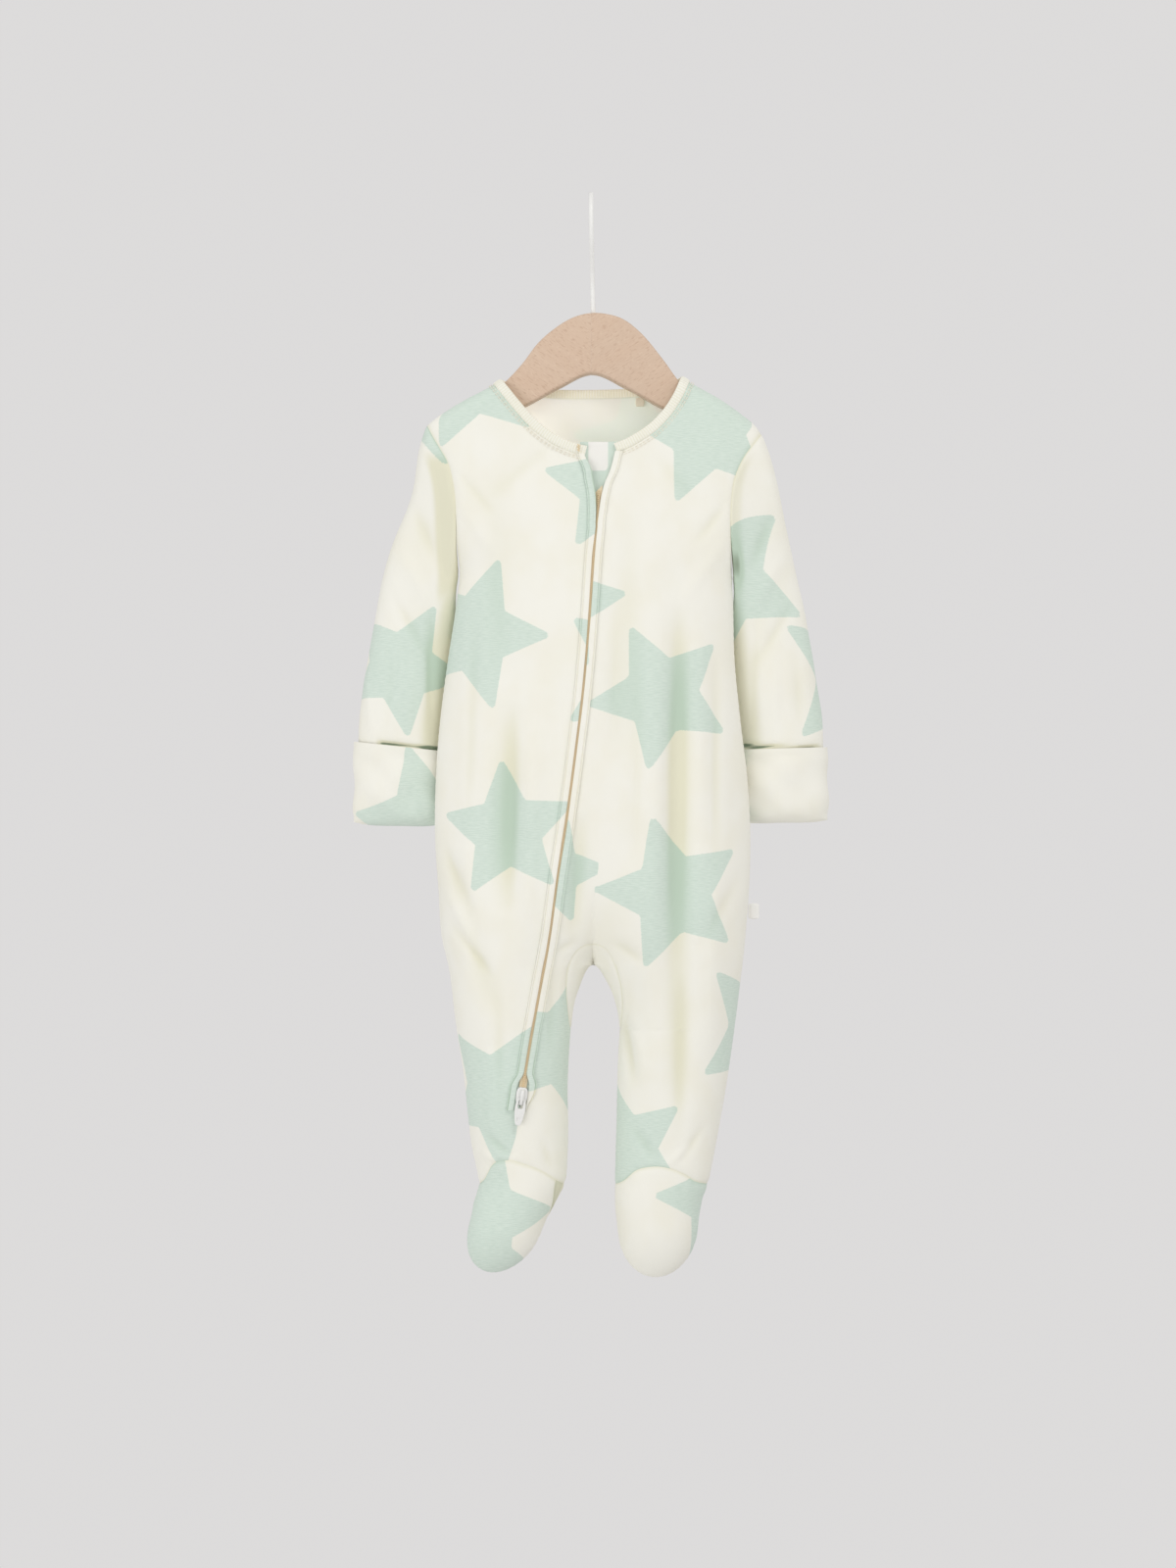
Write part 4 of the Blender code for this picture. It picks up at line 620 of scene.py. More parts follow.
def unrolled(points, middle_x, inner_share):
    """Flat place across the cloth: x, plus what the cloth's length along a row has over its width in x, counted from
    the middle of the panel. On the inner side that is added by inner_share."""
    step = np.diff(points, axis=1)
    gathered = run_of(np.linalg.norm(step, axis=-1) - np.hypot(step[..., 0], step[..., 2]), 1)
    from_middle = points[..., 0] - middle_x[:, None]
    nearest = np.abs(from_middle).argmin(axis=1)[:, None]
    extra = np.sign(from_middle) * np.abs(gathered - np.take_along_axis(gathered, nearest, axis=1))
    outer = np.sign(from_middle) == np.sign(middle_x)[:, None]
    return points[..., 0] + extra * np.where(outer, 1.0, inner_share(points[..., 2]))


# walls of cloth

def grid_triangles(rows, columns, wrap=False, ring=False):
    """Two triangles for each cell of a grid of points; wrap joins its last column to its first, ring its rows."""
    index = np.arange(rows * columns).reshape(rows, columns)
    index = np.pad(index, ((0, int(ring)), (0, int(wrap))), mode="wrap")
    a, b, c, d = index[:-1, :-1], index[:-1, 1:], index[1:, 1:], index[1:, :-1]
    return np.concatenate([stacked(a, b, c).reshape(-1, 3), stacked(a, c, d).reshape(-1, 3)])


def joined(patches, wrap=False):
    """One list of points, with their values, and triangles from several grids whose shared points become one."""
    rows, triangles, count = [], [], 0
    for patch in patches:
        triangles.append(grid_triangles(*patch.shape[:2], wrap) + count)
        rows.append(patch.reshape(-1, patch.shape[-1]))
        count += len(rows[-1])
    rows, triangles = np.concatenate(rows), np.concatenate(triangles)
    _, first, index = np.unique(np.round(rows[:, :3], 3), axis=0, return_index=True, return_inverse=True)
    triangles = index.reshape(-1)[triangles]
    a, b, c = triangles.T
    return rows[first], triangles[(a != b) & (b != c) & (c != a)]


def corners_of(points, triangles):
    """Places of the first, second and third corners of triangles."""
    return (points[triangles[:, i]] for i in range(3))


def wall(points, normals, triangles, thickness):
    """Closed wall: the outer face, the same face moved in along its normals, and a rim along each open edge."""
    a, b, c = corners_of(points, triangles)
    outward = (np.cross(b - a, c - a) * normals[triangles].sum(axis=1)).sum(axis=-1, keepdims=True) > 0
    triangles = np.where(outward, triangles, triangles[:, ::-1])
    count = len(points)
    start, end = triangles.reshape(-1), np.roll(triangles, -1, axis=1).reshape(-1)
    rim = ~np.isin(start * count + end, end * count + start)
    start, end = start[rim], end[rim]
    rims = [stacked(end, start, start + count), stacked(end, start + count, end + count)]
    return (np.concatenate([points, points - thickness * normals]),
            np.concatenate([triangles, triangles[:, ::-1] + count, *rims]))


# places in a patch's rows, after the point and its normal
CLOTH_ACROSS, CLOTH_ALONG, STAR, SHADE = 6, 7, 8, 9


def patch_of(points, normals, across, along, stars, shade=0.0):
    """A patch's grid: point, normal, flat place, distance to a star's edge, and painted shade of deep folds, seams and
    gaps.
    """
    values = stacked(across, along, star_distance(across, along, stars), shade)
    return np.concatenate([points, normals, values], axis=-1)


def trough_shade(height, full):
    """How deep a point lies in a trough, 1 at the full depth."""
    return unit(-height / full)


def seam_shade(reach):
    """Shade along a seam: a bell of the distance to it."""
    return SEAM_SHADE * bell(reach / SEAM_SHADE_REACH)


def piece(name, points, triangles, finish, stands_for=(), slot=None, rides_on="suit", sharp=38.0, **values):
    """An object from points in millimetres, with its faces smooth, its values as attributes, and its body."""
    mesh = bpy.data.meshes.new(name)
    mesh.from_pydata((np.asarray(points) * MILLIMETRE).tolist(), [], np.asarray(triangles).tolist())
    mesh.update()
    mesh.shade_smooth()
    mesh.set_sharp_from_angle(angle=math.radians(sharp))
    for value_name, value in values.items():
        kind, field = ("FLOAT", "value") if value.ndim == 1 else ("FLOAT_VECTOR", "vector")
        layer = mesh.attributes.new(value_name, kind, "POINT")
        layer.data.foreach_set(field, value.astype(np.float32).ravel())
    mesh.materials.append(finish)
    made = bpy.data.objects.new(name, mesh)
    bpy.context.scene.collection.objects.link(made)
    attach(made, rides_on)
    if stands_for:
        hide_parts(*stands_for)
    return made


def cloth(name, patches, finish, slot, thickness=SHELL, wrap=False):
    """The cloth that stands for the node of this name, from patches; its flat size is worked out too: a tube's is its
    largest ring and its longest line down."""
    rows, triangles = joined(patches, wrap)
    points, closed = wall(rows[:, :3], rows[:, 3:6], triangles, thickness)
    twice = np.concatenate([rows, rows])
    lining = np.repeat([0.0, 1.0], len(rows))
    weave = stacked(twice[:, CLOTH_ACROSS], twice[:, CLOTH_ALONG], lining)
    made = piece(f"{name}_cloth", points, closed, finish, (name,), slot,
                 weave=weave, star=twice[:, STAR], shade=twice[:, SHADE], lining=lining)
    a, b, c = corners_of(rows[:, :3], triangles)
    area = np.linalg.norm(np.cross(b - a, c - a), axis=-1).sum() / 2
    if wrap:
        grid = np.concatenate([patches[0], patches[0][:, :1]], axis=1)[..., :3]
        width, length = from_edge(grid, "first")[:, -1].max(), from_edge(grid, "top")[-1].max()
    else:
        width, length = np.ptp(rows[:, CLOTH_ACROSS]), np.ptp(rows[:, CLOTH_ALONG])
    width * MILLIMETRE
    length * MILLIMETRE


def from_edge(points, edge):
    """Distance of each grid point from one edge of its grid, measured along its row or column."""
    axis = 1 if edge in ("first", "last") else 0
    walked = run_of(np.linalg.norm(np.diff(points, axis=axis), axis=-1), axis)
    return walked if edge in ("first", "top") else np.take(walked, [-1], axis=axis) - walked


def seam_dip(reach, along):
    """How far a seam draws its edge in, with small puckers along it."""
    pucker = PUCKER * np.sin(along * 1.15) * np.exp(-reach / 5.0) * smoothstep(reach / 1.5)
    return pucker - SEAM_DIP * bell(reach / SEAM_REACH)


def panel_patch(grid, face, seams, stars, left):
    """A panel's grid of (x, z) on the skin. seams gives the distance to the nearest seam at each point, and how much
    of it calms the creases; the print is read at the cloth's flat places."""
    x, z = grid[..., 0], grid[..., 1]
    base, _ = skin(x, z, face)
    reach, calm_reach = seams(base)
    calm = smoothstep(calm_reach / CALM_REACH)
    points, normals = raised(x, z, face, seam_dip(reach, x + z), calm)
    middle = (side(z[:, 0], left) + inseam(z[:, 0], left)) / 2
    shade = TROUGH_SHADE * (trough_shade(fold_relief(x, z, face), FOLD_FULL)
                            + calm * trough_shade(crease_relief(x, z, CREASES[face]), CREASE_FULL))
    shade = np.minimum(shade + seam_shade(calm_reach), 1.0)
    return patch_of(points, normals, unrolled(base, middle, merging), z, stars, shade)


# panels of the body

def zip_edge(z, left):
    """Edge of a front panel along the zip: a V at the top, then half the gap to its side of the zip's line. The two
    panels close to a plain seam below the zip."""
    half_gap = ZIP_HALF_GAP * (1.0 - unit((ZIP_CLOSING_Z - z) / ZIP_CLOSING_LENGTH))
    return np.where(z > ZIP_V_Z, read(ZIP_V[left], z), read(ZIP_LINE, z) + SIGN[left] * half_gap)


def split_line(z):
    """Where the front right panel parts into its strip on the left leg and its right leg, drawn up to the neck."""
    return SPLIT_TOP_X * unit((z - GUSSET_TOP_Z) / (YOKE_Z - GUSSET_TOP_Z))


def ankle_lift(across, left, face):
    """How far the seam over the foot rises, across the leg."""
    return read(CAP_LIFT[left], across) if face == FRONT else BACK_ANKLE_LIFT * np.sin(math.pi * across)


def lifted(x, z, left, face):
    """Places of rows that bend up to the seam over the foot as they near the ankle."""
    outer, inner = side(z, left)[:, None], inseam(z, left)[:, None]
    share = unit((ANKLE_BEND_Z - z) / (ANKLE_BEND_Z - ANKLE_Z))[:, None] ** 2
    return stacked(x, z[:, None] + share * ankle_lift(unit((x - outer) / (inner - outer)), left, face))


def armhole_x(z, left):
    """x of the armhole's seam at a height."""
    return read(ARMHOLE[left], z)


def panel_side(z, left):
    """Side edge of the body's panels: the armhole down to the armpit, then the side seam."""
    return np.where(z > ARMPIT_Z[left], armhole_x(z, left), side(z, left))


YOKE_ROWS = 26
SHOULDER_COLUMNS = 16
SIDE_COLUMNS = 50
STRIP_COLUMNS = 18
GUSSET_COLUMNS = 12
FOOT_COLUMNS = 60
TOE_ROWS = 23
HEEL_COLUMNS = 12
HEEL_FADE_COLUMNS = 6.0
SLEEVE_ROWS = 83
MITT_ROWS = 40
MITT_CORNERS = 112

BODY_ROWS = np.concatenate([
    spaced(YOKE_Z, ARMPIT_Z[True]), spaced(ARMPIT_Z[True], ARMPIT_Z[False])[1:],
    spaced(ARMPIT_Z[False], GUSSET_TOP_Z)[1:]])
LEG_ROWS = np.concatenate([
    GUSSET_TOP_Z - (GUSSET_TOP_Z - GUSSET_END_Z) * eased(28, 1.7)[1:], spaced(GUSSET_END_Z, ANKLE_Z)[1:]])
ROWS = np.concatenate([BODY_ROWS, LEG_ROWS])


def yoke_start_z(left):
    """Heights of the yoke's rows at the armhole, closer together near the shoulder."""
    return between(SHOULDER_TIP[left][1], YOKE_Z, eased(YOKE_ROWS, 1.5))


def yoke(left, face, x_end, bottom_x, end_x):
    """Grid from the shoulder and neck down to the yoke's line, between the armhole and the edge that end_x gives."""
    neck_point = NECK_POINT_X[left]
    shoulder_x = np.linspace(SHOULDER_TIP[left][0], neck_point, SHOULDER_COLUMNS + 1)
    neck_x = between(neck_point, x_end, eased(len(bottom_x) - 1 - SHOULDER_COLUMNS, 1.5)[1:])
    top = np.concatenate([stacked(shoulder_x, read(SHOULDER_LINE, shoulder_x)),
                          stacked(neck_x, read(NECK_FRONT if face == FRONT else NECK_BACK, neck_x))])
    start_z = yoke_start_z(left)
    end_z = between(top[-1, 1], YOKE_Z, eased(YOKE_ROWS, 1.2))
    end = stacked(end_x(end_z), end_z)
    end[0] = top[-1]
    return coons(top, stacked(bottom_x, YOKE_Z), stacked(armhole_x(start_z, left), start_z), end)[:-1]


def inner_edge(z, left):
    """Where a leg's panel ends towards the inner leg: the gusset's seam, and the inseam below the gusset."""
    return np.where(z >= GUSSET_END_Z, gusset_seam(z, left), inseam(z, left))


def seams_of(edges, leg_edge=None, zip_side=None):
    """A function that gives, for a grid, the distance to its nearest seam, and to the nearest that calms creases.

    edges are seams all along; leg_edge is one only in the legs; zip_side is drawn in but calms nothing.
    """
    def reaches(points):
        near = [from_edge(points, edge) for edge in edges]
        if leg_edge:
            into_leg = np.clip((GUSSET_TOP_Z - points[..., 2]) / LEG_SEAM_START, 0.001, 1.0)
            near.append(from_edge(points, leg_edge) / into_leg + LEG_SEAM_CALM * (1.0 - into_leg))
        calm = np.minimum.reduce(near)
        drawn = np.minimum(calm, from_edge(points, zip_side)) if zip_side else calm
        return drawn, calm
    return reaches


def side_rows(left, face, end):
    """Rows of a panel below the yoke, from its side edge to its end."""
    return lifted(across_section(panel_side(ROWS, left), end, ROWS, left, SIDE_COLUMNS), ROWS, left, face)


def front_left():
    """The body left of the zip with its leg: the yoke's rows, then rows from the side to the zip."""
    rows = side_rows(True, FRONT, zip_edge(ROWS, True))
    upper = yoke(True, FRONT, NECK_END[True][0], rows[0, :, 0], lambda z: zip_edge(z, True))
    seams = seams_of(("first", "top", "bottom"), zip_side="last")
    return [panel_patch(np.concatenate([upper, rows]), FRONT, seams, STARS_FRONT[True], True)]


def front_right():
    """The body right of the zip with its right leg, and the strip of the left leg between zip and inner seam."""
    legs = ROWS < GUSSET_TOP_Z
    body = side_rows(False, FRONT, np.where(legs, inner_edge(ROWS, False), split_line(ROWS)))
    end, edge = np.where(legs, inner_edge(ROWS, True), split_line(ROWS)), zip_edge(ROWS, False)
    turn = across_section(end, edge, ROWS, True, STRIP_COLUMNS)
    level = between(end[:, None], edge[:, None], np.linspace(0.0, 1.0, STRIP_COLUMNS + 1))
    strip = np.where(legs[:, None, None], lifted(turn, ROWS, True, FRONT), stacked(level, ROWS[:, None]))
    upper = yoke(False, FRONT, NECK_END[False][0], np.concatenate([body[0, :, 0], strip[0, 1:, 0]]),
                 lambda z: zip_edge(z, False))
    body = np.concatenate([upper[:, :SIDE_COLUMNS + 1], body])
    strip = np.concatenate([upper[:, SIDE_COLUMNS:], strip])
    return [panel_patch(body, FRONT, seams_of(("first", "top", "bottom"), "last"), STARS_FRONT[False], False),
            panel_patch(strip, FRONT, seams_of(("top", "bottom"), "first", "last"), STARS_STRIP, True)]


def back():
    """Two halves that meet in the middle, each the yoke's rows, then rows from the side."""
    patches = []
    for left in (True, False):
        rows = side_rows(left, BACK, np.where(ROWS < GUSSET_TOP_Z, inner_edge(ROWS, left), 0.0))
        grid = np.concatenate([yoke(left, BACK, 0.0, rows[0, :, 0], np.zeros_like), rows])
        patches.append(panel_patch(grid, BACK, seams_of(("first", "top", "bottom"), "last"), STARS_BACK, left))
    return patches


def gusset():
    """Strip round the inner legs and the crotch: each row runs from the front seam round the inner edge to the back."""
    turn = np.sin(np.linspace(0.0, math.pi / 2, GUSSET_COLUMNS + 1))
    heights = LEG_ROWS[LEG_ROWS > GUSSET_END_Z - GUSSET_LAP][::-1]
    z = np.concatenate([heights, [GUSSET_TOP_Z], heights[::-1]])
    left = np.arange(len(z)) <= len(heights)
    down = unit((GUSSET_TOP_Z - z) / (GUSSET_TOP_Z - GUSSET_END_Z))
    edge_z = z + (CROTCH_Z - GUSSET_TOP_Z) * (1.0 - down) ** 1.3
    seam_x = np.where(left, gusset_seam(z, True), gusset_seam(z, False))
    edge_x = np.where(left, inseam(edge_z, True), inseam(edge_z, False))
    x = between(seam_x[:, None], edge_x[:, None], turn)
    height = between(z[:, None], edge_z[:, None], turn)
    (front, front_normals), (rear, rear_normals) = skin(x, height, FRONT), skin(x[:, ::-1], height[:, ::-1], BACK)
    points = np.concatenate([front, rear[:, 1:]], axis=1)
    normals = np.concatenate([front_normals, rear_normals[:, 1:]], axis=1)
    reach = np.minimum(from_edge(points, "first"), from_edge(points, "last"))
    under = GUSSET_UNDER * smoothstep((GUSSET_END_Z - z) / 1.5)[:, None]
    points = points + (seam_dip(reach, points[..., 2]) - under)[..., None] * normals
    across = from_edge(points, "first") * np.sign(x.mean(axis=1, keepdims=True))
    return [patch_of(points, normals, across, points[..., 2], STARS_GUSSET, seam_shade(reach))]


def foot(left, face):
    """Toe cap or sole: rows from the ankle seam to the toe, each an arc of the section that narrows to a point. The
    left foot's sole comes round its inner edge to the front, so that its heel shows beside the toe cap."""
    length = TOE_LENGTH[left]
    z = np.concatenate([spaced(ANKLE_Z, SOLE_WIDEST_Z, FOOT_CELL)[:-1],
                        SOLE_WIDEST_Z - length * np.sin(np.linspace(0.0, math.pi / 2, TOE_ROWS + 1))])[:, None]
    narrowing = np.sqrt(positive(1.0 - unit((SOLE_WIDEST_Z - z) / length) ** 2))
    outer, inner = side(z, left), inseam(z, left)
    share = unit((z - SOLE_WIDEST_Z) / (ANKLE_Z - SOLE_WIDEST_Z))
    showing = HEEL_TURN[left] * (1.0 - smoothstep((ANKLE_Z - z) / (ANKLE_Z - HEEL_END_Z)))
    arc = np.linspace(0.0, math.pi, FOOT_COLUMNS + 1)
    arcs = [(FRONT, arc * (1.0 - showing / math.pi))]
    if face == BACK:
        heel_arc = math.pi - showing * np.linspace(0.0, 1.0, HEEL_COLUMNS + 1)[1:]
        arcs = [(BACK, arc), (FRONT, heel_arc)][:1 + left]
    grids = []
    for side_face, turn in arcs:
        x = (outer + inner) / 2 + (outer - inner) / 2 * narrowing * np.cos(turn)
        height = z + share * ankle_lift((1.0 - np.cos(turn)) / 2, left, side_face)
        grids.append([*skin(x, height, side_face), height])
    base, normals, height = (np.concatenate(parts, axis=1) for parts in zip(*grids))
    x = base[..., 0]
    reach = np.minimum.reduce([from_edge(base, edge) for edge in ("top", "first", "last")])
    uneven = smoothstep(reach / CALM_REACH) * (crease_relief(x, height, CREASES[face]) + drift(x, height, face))
    points = base + (seam_dip(reach, x * 2.0) + uneven)[..., None] * normals
    heel = HEEL_SHADE * unit((np.arange(x.shape[1]) - FOOT_COLUMNS) / HEEL_FADE_COLUMNS)
    return [patch_of(points, normals, unrolled(base, (outer + inner)[:, 0] / 2, np.ones_like), height,
                     STARS_FOOT[left] if face == FRONT else STARS_SOLE, np.minimum(seam_shade(reach) + heel, 1.3))]


# sleeves and mitts

def turned(points):
    """Outward normals of a tube given as rings of points, from the differences along and round it."""
    around = np.roll(points, -1, axis=1) - np.roll(points, 1, axis=1)
    normals = np.cross(around, np.gradient(points, axis=0))
    outward = points - points.mean(axis=1, keepdims=True)
    normals *= np.sign((normals * outward).sum(axis=(1, 2)))[:, None, None]
    return normals / np.maximum(np.linalg.norm(normals, axis=-1, keepdims=True), 1e-9)


def ring_chart(points, inner_column):
    """Flat places of a tube's rings: the ring's arc length either way from the middle of its front, laid off along
    the ring's own line from its outer to its inner edge."""
    walked = from_edge(points, "first")
    outer, inner = points[:, 0], points[:, inner_column]
    arc = walked - walked[:, inner_column:inner_column + 1] / 2
    total = walked[:, -1:] + np.linalg.norm(points[:, -1:] - points[:, :1], axis=-1)
    arc = np.where(np.arange(points.shape[1]) > inner_column, arc - total, arc)
    place = ((outer + inner) / 2)[:, None] + arc[..., None] * unit_vectors(inner - outer)[:, None]
    return place[..., 0], place[..., 2]


def armhole_loop(left):
    """Closed row of points round the armhole and the skin's normals there: down the front, up the back."""
    z = np.concatenate([yoke_start_z(left), BODY_ROWS[1:]])
    z = z[z >= ARMPIT_Z[left] - 0.01]
    x = armhole_x(z, left)
    loops = zip(skin(x, z, FRONT), skin(x[-2:0:-1], z[-2:0:-1], BACK))
    return *(np.concatenate(parts) for parts in loops), len(z) - 1


def sleeve(left):
    """Tube from the armhole to the end inside the mitt.

    Each ring stands on a chord from the outer to the inner edge. A point keeps its share of the chord; its depth
    goes over from the armhole's to an ellipse's, and the rings shift back to hang behind the body's side. The cloth
    is shaded beside the body and in the armpit, and drawn in along the mitt's mouth.
    """
    loop, skin_normals, armpit = armhole_loop(left)
    offset = loop[:, [0, 2]] - loop[0, [0, 2]]
    chord = offset[armpit]
    span = np.linalg.norm(chord)
    share = offset @ chord / span ** 2
    bow = (offset[:, 0] * chord[1] - offset[:, 1] * chord[0]) / span
    face = np.where(np.arange(len(loop)) <= armpit, FRONT, BACK)
    angle = np.arccos(np.clip(1.0 - 2.0 * share, -1.0, 1.0))

    along = eased(SLEEVE_ROWS, 1.15)[:, None]
    ends = {name: read(SLEEVE[left], along, name) for name in SLEEVE[left]}
    start = stacked(ends["outer_x"], ends["outer_z"])
    reach = stacked(ends["inner_x"], ends["inner_z"]) - start
    square = unit_vectors(reach[..., ::-1] * (1.0, -1.0))
    into = smoothstep(along / ARMHOLE_BLEND)
    flat = start + share[:, None] * reach + (bow * (1.0 - into))[..., None] * square
    y = (1.0 - into) * loop[:, 1] + into * face * np.sin(angle) * ends["depth"] + ends["shift"]
    points = stacked(flat[..., 0], y, flat[..., 1])
    points[0] = loop

    normals = turned(points)
    away = np.cross(np.roll(loop, -1, axis=0) - np.roll(loop, 1, axis=0), skin_normals)
    away = unit_vectors(away * np.sign((away * (points[1] - loop)).sum()))
    away[armpit] = (0.0, 0.0, -1.0)
    normals[0] -= positive(((normals[0] - skin_normals) * away).sum(axis=-1, keepdims=True)) * away
    normals[0] = unit_vectors(normals[0])

    across, lengthwise = ring_chart(points, armpit)
    reach = from_edge(points, "top")
    x, y, z = np.moveaxis(points, -1, 0)
    creases = crease_relief(x, z, CREASES_SLEEVE) * (1.0 + 0.2 * np.sign(y - 14.0))
    height = (creases + drift(x, z, FRONT)) * smoothstep(reach / CALM_REACH)
    height = height * smoothstep((1.0 - along) / 0.06) + seam_dip(reach, across)
    points = points + height[..., None] * normals

    x, y, z = np.moveaxis(points, -1, 0)
    front, dark, armpit_z = face == FRONT, SLEEVE_SHADE[left], loop[armpit, 2]
    # painted shade: along the inner side, the seam, the creases, beside the body and in the armpit
    shade = dark["inner"] * smoothstep((share - 0.66) / 0.22) * smoothstep(along / 0.3) * front
    shade = np.minimum(shade + 1.7 * seam_shade(reach) + TROUGH_SHADE * trough_shade(height, SLEEVE_CREASE_FULL), 1.0)
    beside = smoothstep((dark["reach"] - np.abs(x - panel_side(z, left))) / 7.0) * front
    beside = beside * smoothstep((SLEEVE_BESIDE_Z - z) / 16.0)
    pit = dark["pit"] * beside * bell((z - armpit_z - 8.0) / 13.0)
    shade = np.maximum(shade, dark["beside"] * beside * smoothstep((z - armpit_z + 30.0) / 30.0))
    # the mitt's mouth: the sleeve is drawn in there, and a painted shadow darkens its front
    mouth_z = between(*CUFF_MOUTH_Z[left], share if left else 1.0 - share)
    slit = bell((z - mouth_z - 0.6) / 1.3) * smoothstep((share - dark["slit from"]) / 0.1)
    points = points - (MOUTH_DRAW * slit)[..., None] * normals
    return [patch_of(points, normals, across, lengthwise, STARS_SLEEVE, shade + 1.6 * slit * front + pit)]


def mitt(left):
    """Fold-over mitt: rings of an ellipse from the mouth down, whose depth closes in a power curve to the bottom."""
    end = {name: column[-1] for name, column in SLEEVE[left].items()}
    middle, half = (end["outer_x"] + end["inner_x"]) / 2, (end["inner_x"] - end["outer_x"]) / 2
    angle = circle(MITT_CORNERS)
    across = (1.0 - np.cos(angle)) / 2
    down = eased(MITT_ROWS, 0.85)[:, None]
    top_z = between(*CUFF_MOUTH_Z[left], across)
    z = between(top_z, read(CUFF_BOTTOM[left], across), down)
    closing = np.sqrt(positive(1.0 - down ** 5)) * (end["depth"] + CUFF_REACH)
    lip = MITT_LIP * bell((down * MITT_LENGTH - 1.2) / 1.2)
    x = middle - (half + math.copysign(CUFF_REACH, half)) * np.cos(angle)
    points = stacked(x, end["shift"] - (closing + lip * np.sign(np.sin(angle))) * np.sin(angle), z)
    normals = turned(points)
    normals[-1] = (0.0, 0.0, -1.0)
    crumple = 0.7 * np.sin(x / 4.3 + z / 9.0) * np.sin(z / 7.0 + 1.0) + 0.5 * np.sin(x / 9.0 - z / 5.0)
    crumple = crumple * smoothstep(down / 0.2) * smoothstep((1.0 - down) / 0.15)
    points = points + crumple[..., None] * normals
    return [patch_of(points, normals, *ring_chart(points, MITT_CORNERS // 2), STARS_CUFF)]


# bands, zip, neckband and trims

def facing_out(points, triangles):
    """The triangles of one closed body, all turned round if its volume comes out below zero."""
    a, b, c = corners_of(points, triangles)
    return triangles if (a * np.cross(b, c)).sum() > 0 else triangles[:, ::-1]


def tube(rings):
    """Rings of points joined by triangles, with a fan over each end."""
    count, corners = rings.shape[:2]
    ring = np.arange(corners)
    after, points = np.roll(ring, -1), count * corners
    first = stacked(ring, after, points)
    last = stacked(after + points - corners, ring + points - corners, points + 1)
    triangles = np.concatenate([grid_triangles(count, corners, wrap=True), first, last])
    points = np.concatenate([rings.reshape(-1, 3), rings[[0, -1]].mean(axis=1)])
    return points, facing_out(points, triangles)


def with_ends(values, first=0.0, last=0.0):
    """A tube's values, ring by ring, with those at the middles of its two ends."""
    return np.append(values.ravel(), [first, last])


def band_inner(z, left):
    """Inner edge of a zip band: near the zip's line, along the V at the top, and round the slider at the foot."""
    flare = BAND_FLARE * smoothstep((FLARE_TOP_Z - z) / FLARE_LENGTH)
    below = read(ZIP_LINE, z) + SIGN[left] * (BAND_SLIT / 2 + flare)
    return np.where(z > BAND_JOIN_Z, read(BAND_EDGE[left], z), below)


def band(left):
    """Folded zip band: a flat rounded section carried down the zip, with a sewn groove by its outer edge. The left
    one's free edge stands up and curls over the zip below the neck. Gives its values as attributes too."""
    z = spaced(BAND_TOP_Z[left], BAND_END_Z, 1.5)[:, None]
    long_way, high = superellipse(28, 0.62)
    share, top, outside = (1.0 - long_way) / 2, (1.0 + high) / 2, high > 0.0
    parted = smoothstep((CURL_Z[0] - z) / 10.0) * smoothstep((z - CURL_Z[1]) / 30.0) * left
    curl = CURL * parted * smoothstep(1.0 - share / 0.45)
    groove = GROOVE_DEPTH * bell((share - 0.80) / 0.06) * outside
    height = BAND_LIFT + (BAND_HEIGHT + 0.12 * np.sin(z / 3.1)) * top - groove
    width = BAND_WIDTH * (1.0 - BAND_POINTING[left] * smoothstep((BAND_POINT_Z - z) / 11.0))
    x = band_inner(z, left) + SIGN[left] * (width * share - 0.35 * curl)
    points, triangles = tube(raised(x, z, FRONT, height + curl)[0])
    across = with_ends(x, x[0].mean(), x[-1].mean())
    along = with_ends(z + np.zeros_like(x), z[0, 0], z[-1, 0])
    # painted shade along the sewn groove, darker towards the foot, and behind the left band's curled edge
    darkening = 0.35 + 0.65 * smoothstep((GROOVE_SHADE_DARKENING_Z - z) / 60.0)
    line = 1.15 * darkening * bell((share - 0.84) / 0.10) * outside
    line = line + 1.2 * parted * smoothstep((z - CURL_SHADE_END_Z) / 14.0) * bell(share / 0.12)
    star = star_distance(across, along, STARS_FRONT[True] if left else STARS_STRIP[3:])
    return points, triangles, {"weave": stacked(across, along, 0.0), "star": star, "shade": with_ends(line),
                               "lining": np.zeros_like(star)}


def zip_path(z):
    """Points of the zip's line on the skin, the direction down it, across it and out of it."""
    points, out = skin(read(ZIP_LINE, z), z, FRONT)
    down = unit_vectors(np.gradient(points, axis=0))
    return points, down, np.cross(down, out), out


def zip_coil():
    """Flat spiral of the zip's thread: an ellipse walked round while it goes down the zip, as a thin round tube."""
    turns = (COIL_TOP_Z - ZIP_END_Z) / COIL_PITCH
    turn = np.linspace(0.0, 2.0 * math.pi * turns, int(turns * 10))
    points, _, across, out = zip_path(np.linspace(COIL_TOP_Z, ZIP_END_Z, len(turn)))
    lift = COIL_HALF[1] * np.sin(turn) + COIL_LIFT
    path = points + COIL_HALF[0] * np.cos(turn)[:, None] * across + lift[:, None] * out
    return round_tube(path, COIL_THREAD, 6)


def zip_tape():
    """Woven tape under the coil, cut off at a slant under the guard's end."""
    z = spaced(TAPE_TOP_Z, ZIP_END_Z)
    line = read(ZIP_LINE, z)
    slant = smoothstep((z - TAPE_TOP_Z + TAPE_SLANT_LENGTH) / TAPE_SLANT_LENGTH)
    rows, triangles = joined(skin_strip(line - TAPE_HALF, line + TAPE_HALF, z, -TAPE_UNDER, 6, slant))
    return wall(rows[:, :3], rows[:, 3:6], triangles, TAPE_WALL)


